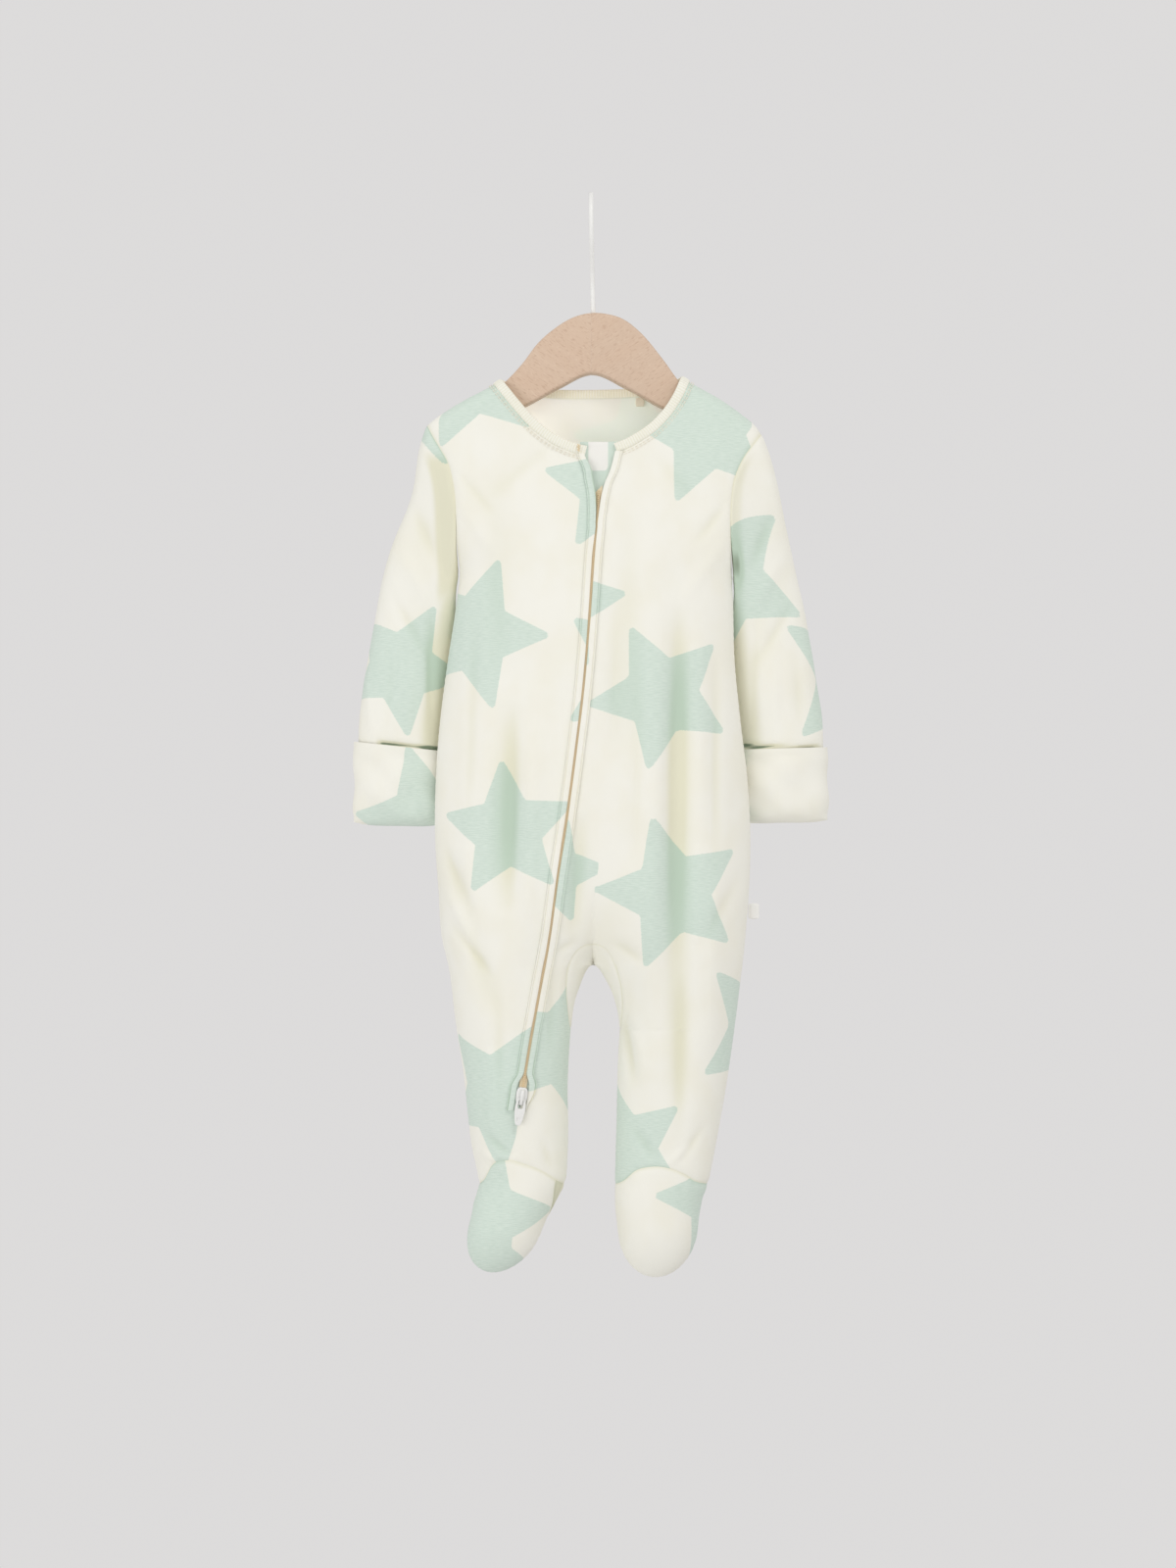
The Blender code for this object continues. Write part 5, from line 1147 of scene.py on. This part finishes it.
def round_tube(path, radius, corners, tilt=(0.31, 0.87, 0.38)):
    """Round tube on a path: circles square to it, all turned alike by a fixed direction."""
    along = unit_vectors(np.gradient(path, axis=0))
    first = unit_vectors(np.cross(along, tilt))
    second = np.cross(along, first)
    radius = np.broadcast_to(radius, len(path))[:, None, None]
    turn = circle(corners)[:, None]
    return tube(path[:, None] + radius * (np.cos(turn) * first[:, None] + np.sin(turn) * second[:, None]))


def skin_strip(left_x, right_x, z, height, columns, slant=0.0):
    """Small flat piece of cloth on the front skin, or under it where the height is below zero. Each row rises to the
    right by its slant."""
    across = np.linspace(-1.0, 1.0, columns + 1)
    half = (right_x - left_x) / 2
    x = ((left_x + right_x) / 2)[:, None] + half[:, None] * across
    level = z[:, None] + (slant * half)[:, None] * across
    points, normals = skin(x, level, FRONT)
    return [patch_of(points + height * normals, normals, x, level, ())]


def zip_guard():
    """Guard in the V at the zip's top, whose star value is the distance to the edge of a plain rounded patch."""
    share = np.linspace(0.0, 1.0, 20)
    edges = (between(*GUARD_X[left], share) for left in (True, False))
    guard, = skin_strip(*edges, between(*GUARD_Z, share), -GUARD_UNDER, 40)
    corner = np.abs(guard[..., [0, 2]] - PATCH_MIDDLE) - PATCH_HALF + PATCH_ROUNDING
    guard[..., STAR] = np.linalg.norm(positive(corner), axis=-1) - PATCH_ROUNDING
    return [guard]


def bar_tack():
    """Zigzag of thread that holds the left band's top."""
    points, out = skin(np.tile(TACK_X, 3), np.linspace(*TACK_Z, 6), FRONT)
    return round_tube(points + TACK_LIFT * out, TACK_THREAD, 8)


def resampled(path, frames, step):
    """A path and the directions along it, read again at an even step of its length."""
    walked = run_of(np.linalg.norm(np.diff(path, axis=0), axis=-1))
    at = np.linspace(0.0, walked[-1], int(walked[-1] / step) + 1)
    path, *frames = (stacked(*(smooth(at, walked, column) for column in part.T)) for part in (path, *frames))
    return at, path, [unit_vectors(part) for part in frames]


def neck_path(step):
    """The neck's seam from the zip round the back to the zip: its points, and the directions up from it and out."""
    closing = np.sin(np.linspace(0.0, math.pi / 2, 12))
    left_x = between(NECK_END[True][0], NECK_POINT_X[True], closing)[:-1]
    turn = (1 - np.cos(np.linspace(0.0, math.pi, 17))) / 2
    back_x = between(NECK_POINT_X[True], NECK_POINT_X[False], turn)
    right_x = between(NECK_END[False][0], NECK_POINT_X[False], closing)[-2::-1]
    parts = [skin(left_x, read(NECK_FRONT, left_x), FRONT), skin(back_x, read(NECK_BACK, back_x), BACK),
             skin(right_x, read(NECK_FRONT, right_x), FRONT)]
    seam, normals = (np.concatenate(part) for part in zip(*parts))
    upward = unit_vectors(np.cross(np.gradient(seam, axis=0), normals) * (1.0, 0.25, 1.0))
    for _ in range(2):
        for frame_part in (upward, normals):
            frame_part[1:-1] = (frame_part[:-2] + 2.0 * frame_part[1:-1] + frame_part[2:]) / 4.0
    return resampled(seam, (upward, normals), step)


def neckband():
    """Ribbed binding: a rounded flat section carried round the neck, waved by the ribs. Gives each point's place on
    its rib too, from 1 on the crest to -1 in the groove."""
    walked, seam, (upward, outward) = neck_path(RIB_PITCH / 6)
    long_way, high = superellipse(20, 0.7)
    rib = np.cos(walked * 2.0 * math.pi / RIB_PITCH)[:, None] * np.ones(len(high))
    rise = (BINDING_RISE + BINDING_HALF * long_way)[:, None]
    out = (-BINDING_UNDER + (BINDING_THICK + RIB_WAVE * rib) * high)[..., None]
    return *tube(seam[:, None] + rise * upward[:, None] + out * outward[:, None]), {"rib": with_ends(rib)}


def stitches(rise, lift):
    """Sewn stitches beside the neck's seam, four fifths of the pitch each: capsules whose rings swell and close along
    their length."""
    _, seam, (upward, outward) = neck_path(STITCH_PITCH)
    path = seam + rise * upward + lift * outward
    start, span, outward = path[:-1, None, None], 0.78 * np.diff(path, axis=0)[:, None, None], outward[:-1, None, None]
    sideways = unit_vectors(np.cross(span, outward))
    share = np.array([0.0, 0.12, 0.5, 0.88, 1.0])[:, None, None]
    swell = np.array([0.15, 0.8, 1.0, 0.8, 0.15])[:, None, None] * STITCH_RADIUS
    turn = circle(6)[:, None]
    rings = start + share * span + swell * (np.cos(turn) * sideways + np.sin(turn) * outward)
    made = [tube(ring) for ring in rings]
    count = len(made[0][0])
    return (np.concatenate([points for points, _ in made]),
            np.concatenate([made[0][1] + number * count for number in range(len(made))]))


def folded_tab(long_way, wide_way, length, width, thickness):
    """A ribbon folded in two: its section along the length is a stadium with a groove between the two layers at the
    open end, and it is carried across the width with rounded ends. long_way and wide_way are its directions."""
    length_wave, thick_wave = superellipse(48, 0.5, 0.6)
    share = (1.0 + length_wave) / 2.0
    across = np.linspace(-1.0, 1.0, 25)[:, None]
    closing = np.sqrt(1.0 - 0.92 * across ** 16)
    along = length * (0.5 + (share - 0.5) * closing)
    thick = thickness / 2 * (1.0 - 0.5 * bell((share - 0.12) / 0.06)) * thick_wave * closing
    thick = thick + 0.18 * np.sin(2.2 * across) * share
    return tube(along[..., None] * long_way + (width / 2 * across)[..., None] * wide_way
                + thick[..., None] * np.cross(long_way, wide_way))


def side_label():
    """Bare tab of folded ribbon in the side seam."""
    points, triangles = folded_tab((1.0, 0.0, 0.0), (0.0, 0.0, 1.0), LABEL_LENGTH, LABEL_HEIGHT, LABEL_WALL)
    return points + (float(side(LABEL_Z, False)) + 0.3, 0.0, LABEL_Z), triangles


def neck_loop():
    """Stub of folded ribbon that hangs inside the back neck."""
    ends, normals = skin(sum(LOOP_X) / 2, LOOP_Z, BACK)
    top, bottom = ends - LOOP_INSIDE * normals
    length = np.linalg.norm(bottom - top)
    down, width = (bottom - top) / length, LOOP_X[1] - LOOP_X[0]
    points, triangles = folded_tab(down, (1.0, 0.0, 0.0), length, width, LOOP_WALL)
    return points + top, triangles


def placed(across, down, out):
    """Points given by their places across, down and out from the skin under the slider, in the suit's own axes."""
    z = np.array([SLIDER_Z, SLIDER_Z - 4.0])
    (point, below), normals = skin(read(ZIP_LINE, z), z, FRONT)
    outward = normals.mean(axis=0)
    downward = below - point
    downward = unit_vectors(downward - (downward @ outward) * outward)
    outward = unit_vectors(outward)
    axes = np.stack([np.cross(downward, outward), downward, outward])
    return point + stacked(across, down, out) @ axes


def slider_body():
    """Rings of a rounded, tapering outline that draw in over the top edge, from the cloth up to the slider's top."""
    over = np.linspace(0.0, math.pi / 2, 5)
    level = np.append([-SLIDER_UNDER, 0.6], SLIDER_TOP + 0.5 * np.sin(over))[:, None]
    shrink = np.append([1.0, 1.0], 1.0 - 0.3 * (1.0 - np.cos(over)))[:, None]
    across, down = superellipse(48, 0.6, 0.7)
    return tube(placed(shrink * across * (SLIDER_HALF[0] - 0.25 * down), shrink * down * SLIDER_HALF[1], level))


def slider_bridge():
    """Arched bar over the slider: a rounded section carried along an arch from the body's top edge to its foot."""
    turn = np.linspace(0.0, math.pi, 30)[:, None]
    down = 0.3 - BRIDGE_REACH * np.cos(turn)
    out = SLIDER_TOP + (BRIDGE_TOP - SLIDER_TOP - BRIDGE_HALF[1]) * np.sin(turn) ** 0.55
    slope_down, slope_out = np.gradient(down, axis=0), np.gradient(out, axis=0)
    across, high = superellipse(16, 0.8)
    lift = BRIDGE_HALF[1] * high / np.hypot(slope_down, slope_out)
    return tube(placed(BRIDGE_HALF[0] * across, down - slope_out * lift, out + slope_down * lift))


def pull_tab():
    """Tapered tab round a slot: from the slot's edge out to the tab's edge on its front and back again behind, with
    rounded edges and a shallow dent near its end."""
    side_way, down_way = superellipse(96, 0.55)
    down_way = (1.0 + down_way) / 2.0
    outer_down, slot_down = between(-PULL_END, PULL_LENGTH, down_way), between(PULL_END, PULL_SLOT, down_way)
    inward, out = superellipse(56, 0.75, 0.45)
    share, out = (1.0 - inward[:, None]) / 2.0, PULL_THICK * out[:, None]
    across = side_way * between(1.45 + 0.15 * down_way, read(PULL_HALF, outer_down), share)
    down = between(slot_down, outer_down, share)
    dent = (smoothstep((DENT_HALF[0] - np.abs(across)) / DENT_EDGE)
            * smoothstep((DENT_HALF[1] - np.abs(down - DENT_DOWN)) / DENT_EDGE) * (out > 0.3))
    points = placed(across, down + HINGE_DOWN, out - DENT_DEPTH * dent + HINGE_OUT)
    triangles = grid_triangles(*points.shape[:2], wrap=True, ring=True)
    return points.reshape(-1, 3), facing_out(points.reshape(-1, 3), triangles)


# hanger and hook

def hanger_half(left):
    """Half of the hanger: a rounded rectangle carried along the arm, as high as the arm's outline there; the arm's end
    closes on a quarter ellipse."""
    start = HANGER_MITRE_X + SIGN[left] * MITRE_GAP
    near, tip = start + SIGN[left] * np.array([0.0, 0.25, 0.5]), SIGN[left] * HANGER_TIP_X
    x = np.append(near[:2], np.linspace(near[2], tip, 90))[:, None]
    top, bottom = read(HANGER_TOP, x), read(HANGER_BOTTOM, x)
    closing = unit((np.abs(x) - (HANGER_TIP_X - TIP_CLOSING)) / TIP_CLOSING)
    mitre = MITRE_ROUNDING * unit(1.0 - np.abs(x - start) / 0.5)
    half_height = (top - bottom) / 2 * np.sqrt(1.0 - 0.995 * closing ** 2) - mitre
    half_depth = HANGER_THICKNESS / 2 - ARM_THINNING * smoothstep((np.abs(x) - THINNING_START_X) / THINNING_LENGTH)
    half_depth = half_depth * np.sqrt(1.0 - 0.6 * closing ** 2) - mitre
    radius = np.minimum(HANGER_ROUNDING, 0.8 * np.minimum(half_height, half_depth))
    turn = np.concatenate([quarter * math.pi / 2 + np.linspace(0.0, math.pi / 2, 7) for quarter in range(4)])
    corner_y = np.repeat([1.0, -1.0, -1.0, 1.0], 7)
    corner_z = np.repeat([1.0, 1.0, -1.0, -1.0], 7)
    y = (half_depth - radius) * corner_y + radius * np.cos(turn)
    z = (top + bottom) / 2 + (half_height - radius) * corner_z + radius * np.sin(turn)
    return tube(stacked(x, y, z))


def hook():
    """Wire hook: a shank that bends forward, then a round loop forwards and over with its tip behind."""
    radius = HOOK_INNER_RADIUS + HOOK_WIRE / 2
    shank_z = np.linspace(HOOK_FOOT_Z, -HOOK_INNER_RADIUS - 1.0, 40)
    shank_y = -radius * smoothstep((shank_z - HOOK_BEND_Z) / HOOK_BEND_LENGTH)
    turn = np.linspace(0.0, math.radians(HOOK_TURN), 90)
    y = np.append(shank_y, -radius * np.cos(turn))
    z = np.append(shank_z, -HOOK_INNER_RADIUS + radius * np.sin(turn))
    x = HOOK_X + HOOK_LEAN * unit((z - HOOK_FOOT_Z) / HOOK_LEAN_LENGTH)
    to_tip = unit(np.arange(len(z))[::-1] / 4.0)
    wire = HOOK_WIRE / 2 * np.sqrt(1.0 - (1.0 - to_tip) ** 2 * 0.98)
    return round_tube(stacked(x, y, z), wire, 24, (1.0, 0.0, 0.0))


# finishes

class Value:
    """A socket's value, whose operators add Math nodes."""

    def __init__(self, finish, socket):
        self.finish, self.socket = finish, socket

    def __add__(self, other):
        return self.finish.math("ADD", self, other)

    def __sub__(self, other):
        return self.finish.math("SUBTRACT", self, other)

    def __rsub__(self, other):
        return self.finish.math("SUBTRACT", other, self)

    def __mul__(self, other):
        return self.finish.math("MULTIPLY", self, other)

    __radd__ = __add__
    __rmul__ = __mul__


class Finish:
    """A material under way: its nodes are added by node(), and its shader's fixed values are set at the start."""

    def __init__(self, name, **fixed):
        self.material = bpy.data.materials.new(name)
        self.material.use_nodes = True
        self.tree = self.material.node_tree
        self.shader = self.tree.nodes["Principled BSDF"]
        self.set(**fixed)

    def set(self, **values):
        for socket, value in values.items():
            self.put(self.shader.inputs[socket.replace("_", " ")], value)

    def node(self, kind, settings=None, inputs=None, output=0):
        """The value that one output of a new node gives."""
        made = self.tree.nodes.new("ShaderNode" + kind)
        for setting, value in (settings or {}).items():
            setattr(made, setting, value)
        for socket, value in (inputs or {}).items():
            self.put(made.inputs[socket], value)
        return Value(self, made.outputs[output])

    def put(self, socket, value):
        if isinstance(value, Value):
            self.tree.links.new(value.socket, socket)
        else:
            socket.default_value = (*value, 1.0) if socket.type == "RGBA" else value

    def math(self, operation, *values):
        return self.node("Math", {"operation": operation}, dict(enumerate(values)))

    def mix(self, factor, first, second):
        """Colour between two, by a factor from 0 to 1."""
        return self.node("Mix", {"data_type": "RGBA"}, {0: factor, 6: first, 7: second}, 2)

    def attribute(self, name, output="Fac"):
        return self.node("Attribute", {"attribute_name": name}, None, output)

    def place(self):
        return self.node("TexCoord", None, None, "Object")

    def axis(self, name):
        return self.node("SeparateXYZ", None, {0: self.place()}, name)

    def mapped(self, vector, scale, turn=(0.0, 0.0, 0.0)):
        return self.node("Mapping", None, {"Vector": vector, "Scale": scale, "Rotation": turn})

    def noise(self, vector, scale, detail=2.0):
        return self.node("TexNoise", None, {"Vector": self.mapped(vector, scale), "Scale": 1.0, "Detail": detail})

    def wave(self, vector, scale, direction):
        return self.node("TexWave", {"bands_direction": direction}, {"Vector": vector, "Scale": scale}, "Fac")

    def range(self, value, low, high, to_low=0.0, to_high=1.0):
        return self.node("MapRange", {"interpolation_type": "SMOOTHSTEP"},
                         {0: value, 1: low, 2: high, 3: to_low, 4: to_high})

    def finished(self, colour, height=None, strength=0.2, distance=0.0001):
        """The material, with its colour and a bump of this height."""
        self.set(Base_Color=colour)
        if height:
            self.set(Normal=self.node("Bump", None, {"Height": height, "Strength": strength, "Distance": distance}))
        return self.material


CREAM = (0.880, 0.872, 0.798)
CREAM_WARM = (0.866, 0.852, 0.756)
CREAM_SHADE = (0.770, 0.755, 0.590)
MINT = (0.684, 0.780, 0.702)
MINT_GREY = (0.606, 0.712, 0.632)
MINT_SHADE = (0.510, 0.628, 0.512)
# painted deep shade: the dark green of shadow in the mitts' mouths, the armpit, beside the body and at the heel
PAINTED_DEEP_SHADE = (0.230, 0.290, 0.200)
PATCH_WHITE = (0.86, 0.85, 0.81)
BLACK = (0.0, 0.0, 0.0)
THROUGH_CREAM = (0.360, 0.345, 0.330)
THROUGH_MINT = (0.360, 0.420, 0.370)
THROUGH_RIB = (0.130, 0.110, 0.060)
BEECH_PALE = (0.708, 0.548, 0.420)
BEECH_DEEP = (0.612, 0.450, 0.332)
BEECH_BROAD = (0.650, 0.475, 0.350)
BEECH_FLECK = (0.440, 0.270, 0.170)
BEECH_PORE = (0.78, 0.64, 0.50)
LINING = 0.16
# where light comes through behind the neck, in metres: down, and from the middle to the left
THROUGH_Z = (-0.200, -0.155)
THROUGH_X = (0.000, -0.045)
KNIT_BUMP = (0.12, 0.00012)


def knit(finish):
    """The flat place in mm, and the height of interlock knit there: fine ribs down the cloth, broken by the rows of
    loops."""
    weave = finish.attribute("weave", "Vector")
    return weave, finish.wave(weave, 1.15, "X") + 0.35 * finish.wave(weave, 0.9, "Y")


def printed_cotton():
    """Cream interlock with mint stars. The star attribute is the distance to a star's edge in mm; the print is
    heathered in streaks across the cloth, and shows only faintly on the inside. The shade attribute is painted shade of
    folds, seams and gaps: it darkens both colours up to 1, and past that goes over to a painted deep green shadow.
    Light that comes through the thin cloth of the back shows inside the neck, most at the left."""
    finish = Finish("printed cotton", Roughness=0.92, Sheen_Weight=0.12, Sheen_Roughness=0.5,
                    Specular_IOR_Level=0.25, Emission_Strength=1.0)
    weave, height = knit(finish)
    lining, shade = finish.attribute("lining"), finish.attribute("shade")
    streaks = finish.noise(weave, (0.22, 1.7, 1.0), detail=3.0)
    cloud = finish.noise(weave, (0.045, 0.03, 1.0))
    ragged = finish.noise(weave, (1.4, 0.8, 1.0))
    edge = finish.range(finish.attribute("star") + (ragged - 0.5) * 0.9, 0.35, -0.35)
    cream = finish.mix(finish.range(cloud, 0.35, 0.7), CREAM, CREAM_WARM)
    mint = finish.mix(finish.range(streaks, 0.3, 0.72), MINT, MINT_GREY)
    dark = finish.range(shade, 0.0, 1.0)
    colour = finish.mix(edge * (1.0 - lining * (1.0 - LINING)), finish.mix(dark, cream, CREAM_SHADE),
                        finish.mix(dark, mint, MINT_SHADE))
    neck = finish.range(finish.axis("Z"), *THROUGH_Z) * finish.range(finish.axis("X"), *THROUGH_X, 0.42, 1.0)
    through = finish.mix(edge, THROUGH_CREAM, THROUGH_MINT)
    finish.set(Emission_Color=finish.mix(lining * neck * (1.0 - shade), BLACK, through))
    # past a shade of 1.1 the colour goes over to the painted deep shade
    return finish.finished(finish.mix(finish.range(shade, 1.1, 1.7), colour, PAINTED_DEEP_SHADE), height, *KNIT_BUMP)


def rib_cotton():
    """Cream rib with painted shade in its grooves, and a little light through it behind the neck."""
    finish = Finish("cream rib", Roughness=0.94, Sheen_Weight=0.1, Sheen_Roughness=0.5, Specular_IOR_Level=0.2,
                    Emission_Strength=1.0)
    place = finish.place()
    cloud = finish.noise(place, (60.0, 60.0, 60.0))
    fuzz = finish.noise(place, (1600.0, 1600.0, 500.0), detail=3.0)
    behind = finish.range(finish.axis("Y"), 0.002, 0.008)
    finish.set(Emission_Color=finish.mix(behind, BLACK, THROUGH_RIB))
    cream = finish.mix(finish.range(cloud, 0.3, 0.7), CREAM, CREAM_WARM)
    # painted shade in the rib's grooves
    groove = finish.range(finish.attribute("rib"), 0.5, -0.9) * 0.55
    return finish.finished(finish.mix(groove, cream, CREAM_SHADE), fuzz)


def thread(name, colour, deep):
    """Sewing thread or ribbon: two tones mixed by a fine noise, which is its bump too."""
    finish = Finish(name, Roughness=0.8, Specular_IOR_Level=0.3)
    twist = finish.noise(finish.place(), (2200.0, 900.0, 2200.0))
    return finish.finished(finish.mix(twist, colour, deep), twist)


def guard_cotton():
    """Mint interlock of the zip's guard with a plain whitish patch."""
    finish = Finish("guard cotton", Roughness=0.92, Sheen_Weight=0.1, Specular_IOR_Level=0.2)
    weave, height = knit(finish)
    streaks = finish.noise(weave, (1.9, 0.12, 1.0), detail=3.0)
    edge = finish.range(finish.attribute("star"), 0.3, -0.3)
    return finish.finished(finish.mix(edge, finish.mix(streaks, MINT, MINT_GREY), PATCH_WHITE), height, *KNIT_BUMP)


def beech(name, turn, tone):
    """Varnished beech: long streaks along the arm, with short dark flecks and pale pores. turn lays the grain along the
    arm, in degrees; tone lightens or darkens this half's wood."""
    finish = Finish(name, Specular_IOR_Level=0.4)
    place = finish.mapped(finish.place(), (1.0, 1.0, 1.0), (0.0, math.radians(turn), 0.0))
    streaks = finish.noise(place, (14.0, 260.0, 320.0), detail=4.0)
    broad = finish.noise(place, (9.0, 40.0, 60.0))
    flecks = finish.noise(place, (260.0, 900.0, 1300.0), detail=1.0)
    pale = finish.noise(place, (480.0, 1200.0, 1600.0), detail=1.0)
    toned = (tuple(tone * part for part in colour) for colour in (BEECH_PALE, BEECH_DEEP))
    wood = finish.mix(streaks, *toned)
    wood = finish.mix(finish.range(broad, 0.3, 0.7) * 0.5, wood, BEECH_BROAD)
    wood = finish.mix(finish.range(flecks, 0.56, 0.68) * 0.38, wood, BEECH_FLECK)
    wood = finish.mix(finish.range(pale, 0.62, 0.72) * 0.3, wood, BEECH_PORE)
    finish.set(Roughness=finish.range(streaks, 0.2, 0.8, 0.42, 0.56))
    return finish.finished(wood, flecks + streaks, 0.12, 0.0002)


def coated(name, colour, roughness):
    """Smooth paint or enamel with a slight unevenness."""
    finish = Finish(name, Specular_IOR_Level=0.5)
    uneven = finish.noise(finish.place(), (400.0, 400.0, 400.0), detail=3.0)
    finish.set(Roughness=finish.range(uneven, 0.2, 0.8, roughness - 0.05, roughness + 0.08))
    return finish.finished(finish.mix(uneven, colour, tuple(0.93 * part for part in colour)), uneven, 0.08)


# the room

def shown(name, data, place=(0.0, 0.0, 0.0), target=None):
    """An object in the scene, turned to look at a target if it has one."""
    made = bpy.data.objects.new(name, data)
    made.location = place
    if target:
        x, y, z = np.array(target) - np.array(place)
        made.rotation_euler = (math.pi / 2 + math.atan2(z, math.hypot(x, y)), 0.0, math.atan2(y, x) - math.pi / 2)
    bpy.context.scene.collection.objects.link(made)
    return made


def lit_floor():
    """A plain square of floor, well below the suit."""
    reach, level = 1.3, -1.15
    floor = bpy.data.meshes.new("floor")
    corners = [(x * reach, y * reach, level) for x, y in ((-1, -1), (1, -1), (1, 1), (-1, 1))]
    floor.from_pydata(corners, [], [(0, 1, 2, 3)])
    floor.materials.append(Finish("floor paint", Roughness=0.9).finished((0.78, 0.775, 0.77)))
    made = shown("floor", floor)


def area_light(name, place, power, colour):
    """A square soft light turned to the suit."""
    light = bpy.data.lights.new(name, "AREA")
    light.size = 1.2
    light.energy = power
    light.color = colour
    shown(name, light, place, (0.0, 0.0, -0.35))


def room():
    """Even pale surroundings, large soft lights from the upper right and the lower left, and a camera with a long
    lens."""
    scene = bpy.context.scene
    scene.view_settings.view_transform = "Standard"
    scene.world = bpy.data.worlds.new("pale room")
    scene.world.use_nodes = True
    ground = scene.world.node_tree.nodes["Background"]
    ground.inputs["Color"].default_value = (0.722, 0.712, 0.709, 1.0)
    ground.inputs["Strength"].default_value = 1.0
    area_light("window", (0.9, -1.5, 1.35), 14.0, (1.0, 0.985, 0.965))
    area_light("reflector", (-1.3, -1.6, -0.7), 9.5, (0.98, 0.99, 1.0))
    camera = bpy.data.cameras.new("camera")
    camera.lens = 85.0
    camera.sensor_width = 36.0
    camera.sensor_fit = "AUTO"
    scene.camera = shown("camera", camera, (-0.003, -2.27, -0.3597))
    scene.camera.rotation_euler = (math.pi / 2, 0.0, 0.0)


def dress():
    """Every piece with its finish, the node it stands for, and the body that it rides on."""
    printed = printed_cotton()
    for left, name in ((True, "left"), (False, "right")):
        points, triangles, values = band(left)
        piece(f"placket_{name}_band", points, triangles, printed, (f"placket_{name}",), "plain_rib",
                            **values)
    points, triangles, values = neckband()
    binding = piece("neckband_rib", points, triangles, rib_cotton(), ("neckband",), "plain_rib", **values)
    cloth("front_left", front_left(), printed, "printed_cotton")
    cloth("front_right", front_right(), printed, "mint_cotton")
    cloth("back", back(), printed, "printed_cotton")
    cloth("gusset", gusset(), printed, "printed_cotton")
    for left, name in ((True, "left"), (False, "right")):
        body = (f"front_{name}_cloth",)
        cloth(f"toe_cap_{name}", foot(left, FRONT), printed, "mint_cotton")
        cloth(f"sole_{name}", foot(left, BACK), printed, "printed_cotton")
        cloth(f"sleeve_{name}", sleeve(left), printed, "printed_cotton", wrap=True)
        cloth(f"cuff_{name}", mitt(left), printed, "plain_rib", wrap=True,
              thickness=CUFF_SHELL)
        wood = beech(f"beech {name}", SIGN[left] * 32.0, 1.01 if left else 0.98)
        piece(f"hanger_{name}_wood", *hanger_half(left), wood, (f"hanger_{name}",), "beech")

    tan_thread = thread("tan thread", (0.86, 0.71, 0.47), (0.74, 0.58, 0.36))
    piece("zip_coil", *zip_coil(), tan_thread, (), "zip_tape")
    piece("zip_tape", *zip_tape(), thread("zip tape", (0.86, 0.74, 0.53), (0.78, 0.65, 0.45)), ("zip_chain",),
          "zip_tape")
    enamel = coated("white enamel", (0.84, 0.84, 0.82), 0.3)
    for name, shape, node, body in (("slider_body", slider_body(), "zip_slider", "suit"),
                                    ("slider_bridge", slider_bridge(), "zip_slider", "suit"),
                                    ("pull_tab", pull_tab(), "zip_pull", "pull")):
        piece(name, *shape, enamel, (node,), "zip_enamel", rides_on=body, sharp=60.0)
    piece("hook_wire", *hook(), coated("white wire coat", (0.87, 0.87, 0.85), 0.35), ("hook",), "white_paint")
    cloth("zip_guard", zip_guard(), guard_cotton(), "mint_cotton")
    piece("bar_tack", *bar_tack(), tan_thread, (), "plain_rib")
    piece("side_label_tab", *side_label(), thread("label tape", (0.88, 0.875, 0.85), (0.83, 0.82, 0.78)),
          ("side_label",), "plain_rib")
    piece("neck_loop_tab", *neck_loop(), thread("loop cotton", (0.94, 0.87, 0.72), (0.88, 0.80, 0.64)),
          ("neck_loop",), "plain_rib")
    cream_thread = thread("cream thread", (0.87, 0.83, 0.73), (0.79, 0.74, 0.62))
    for number, (rise, lift) in enumerate(STITCH_ROWS):
        piece(f"neck_stitches_{number}", *stitches(rise, lift), cream_thread, (), "plain_rib")


def main():
    room()
    lit_floor()
    dress()


main()
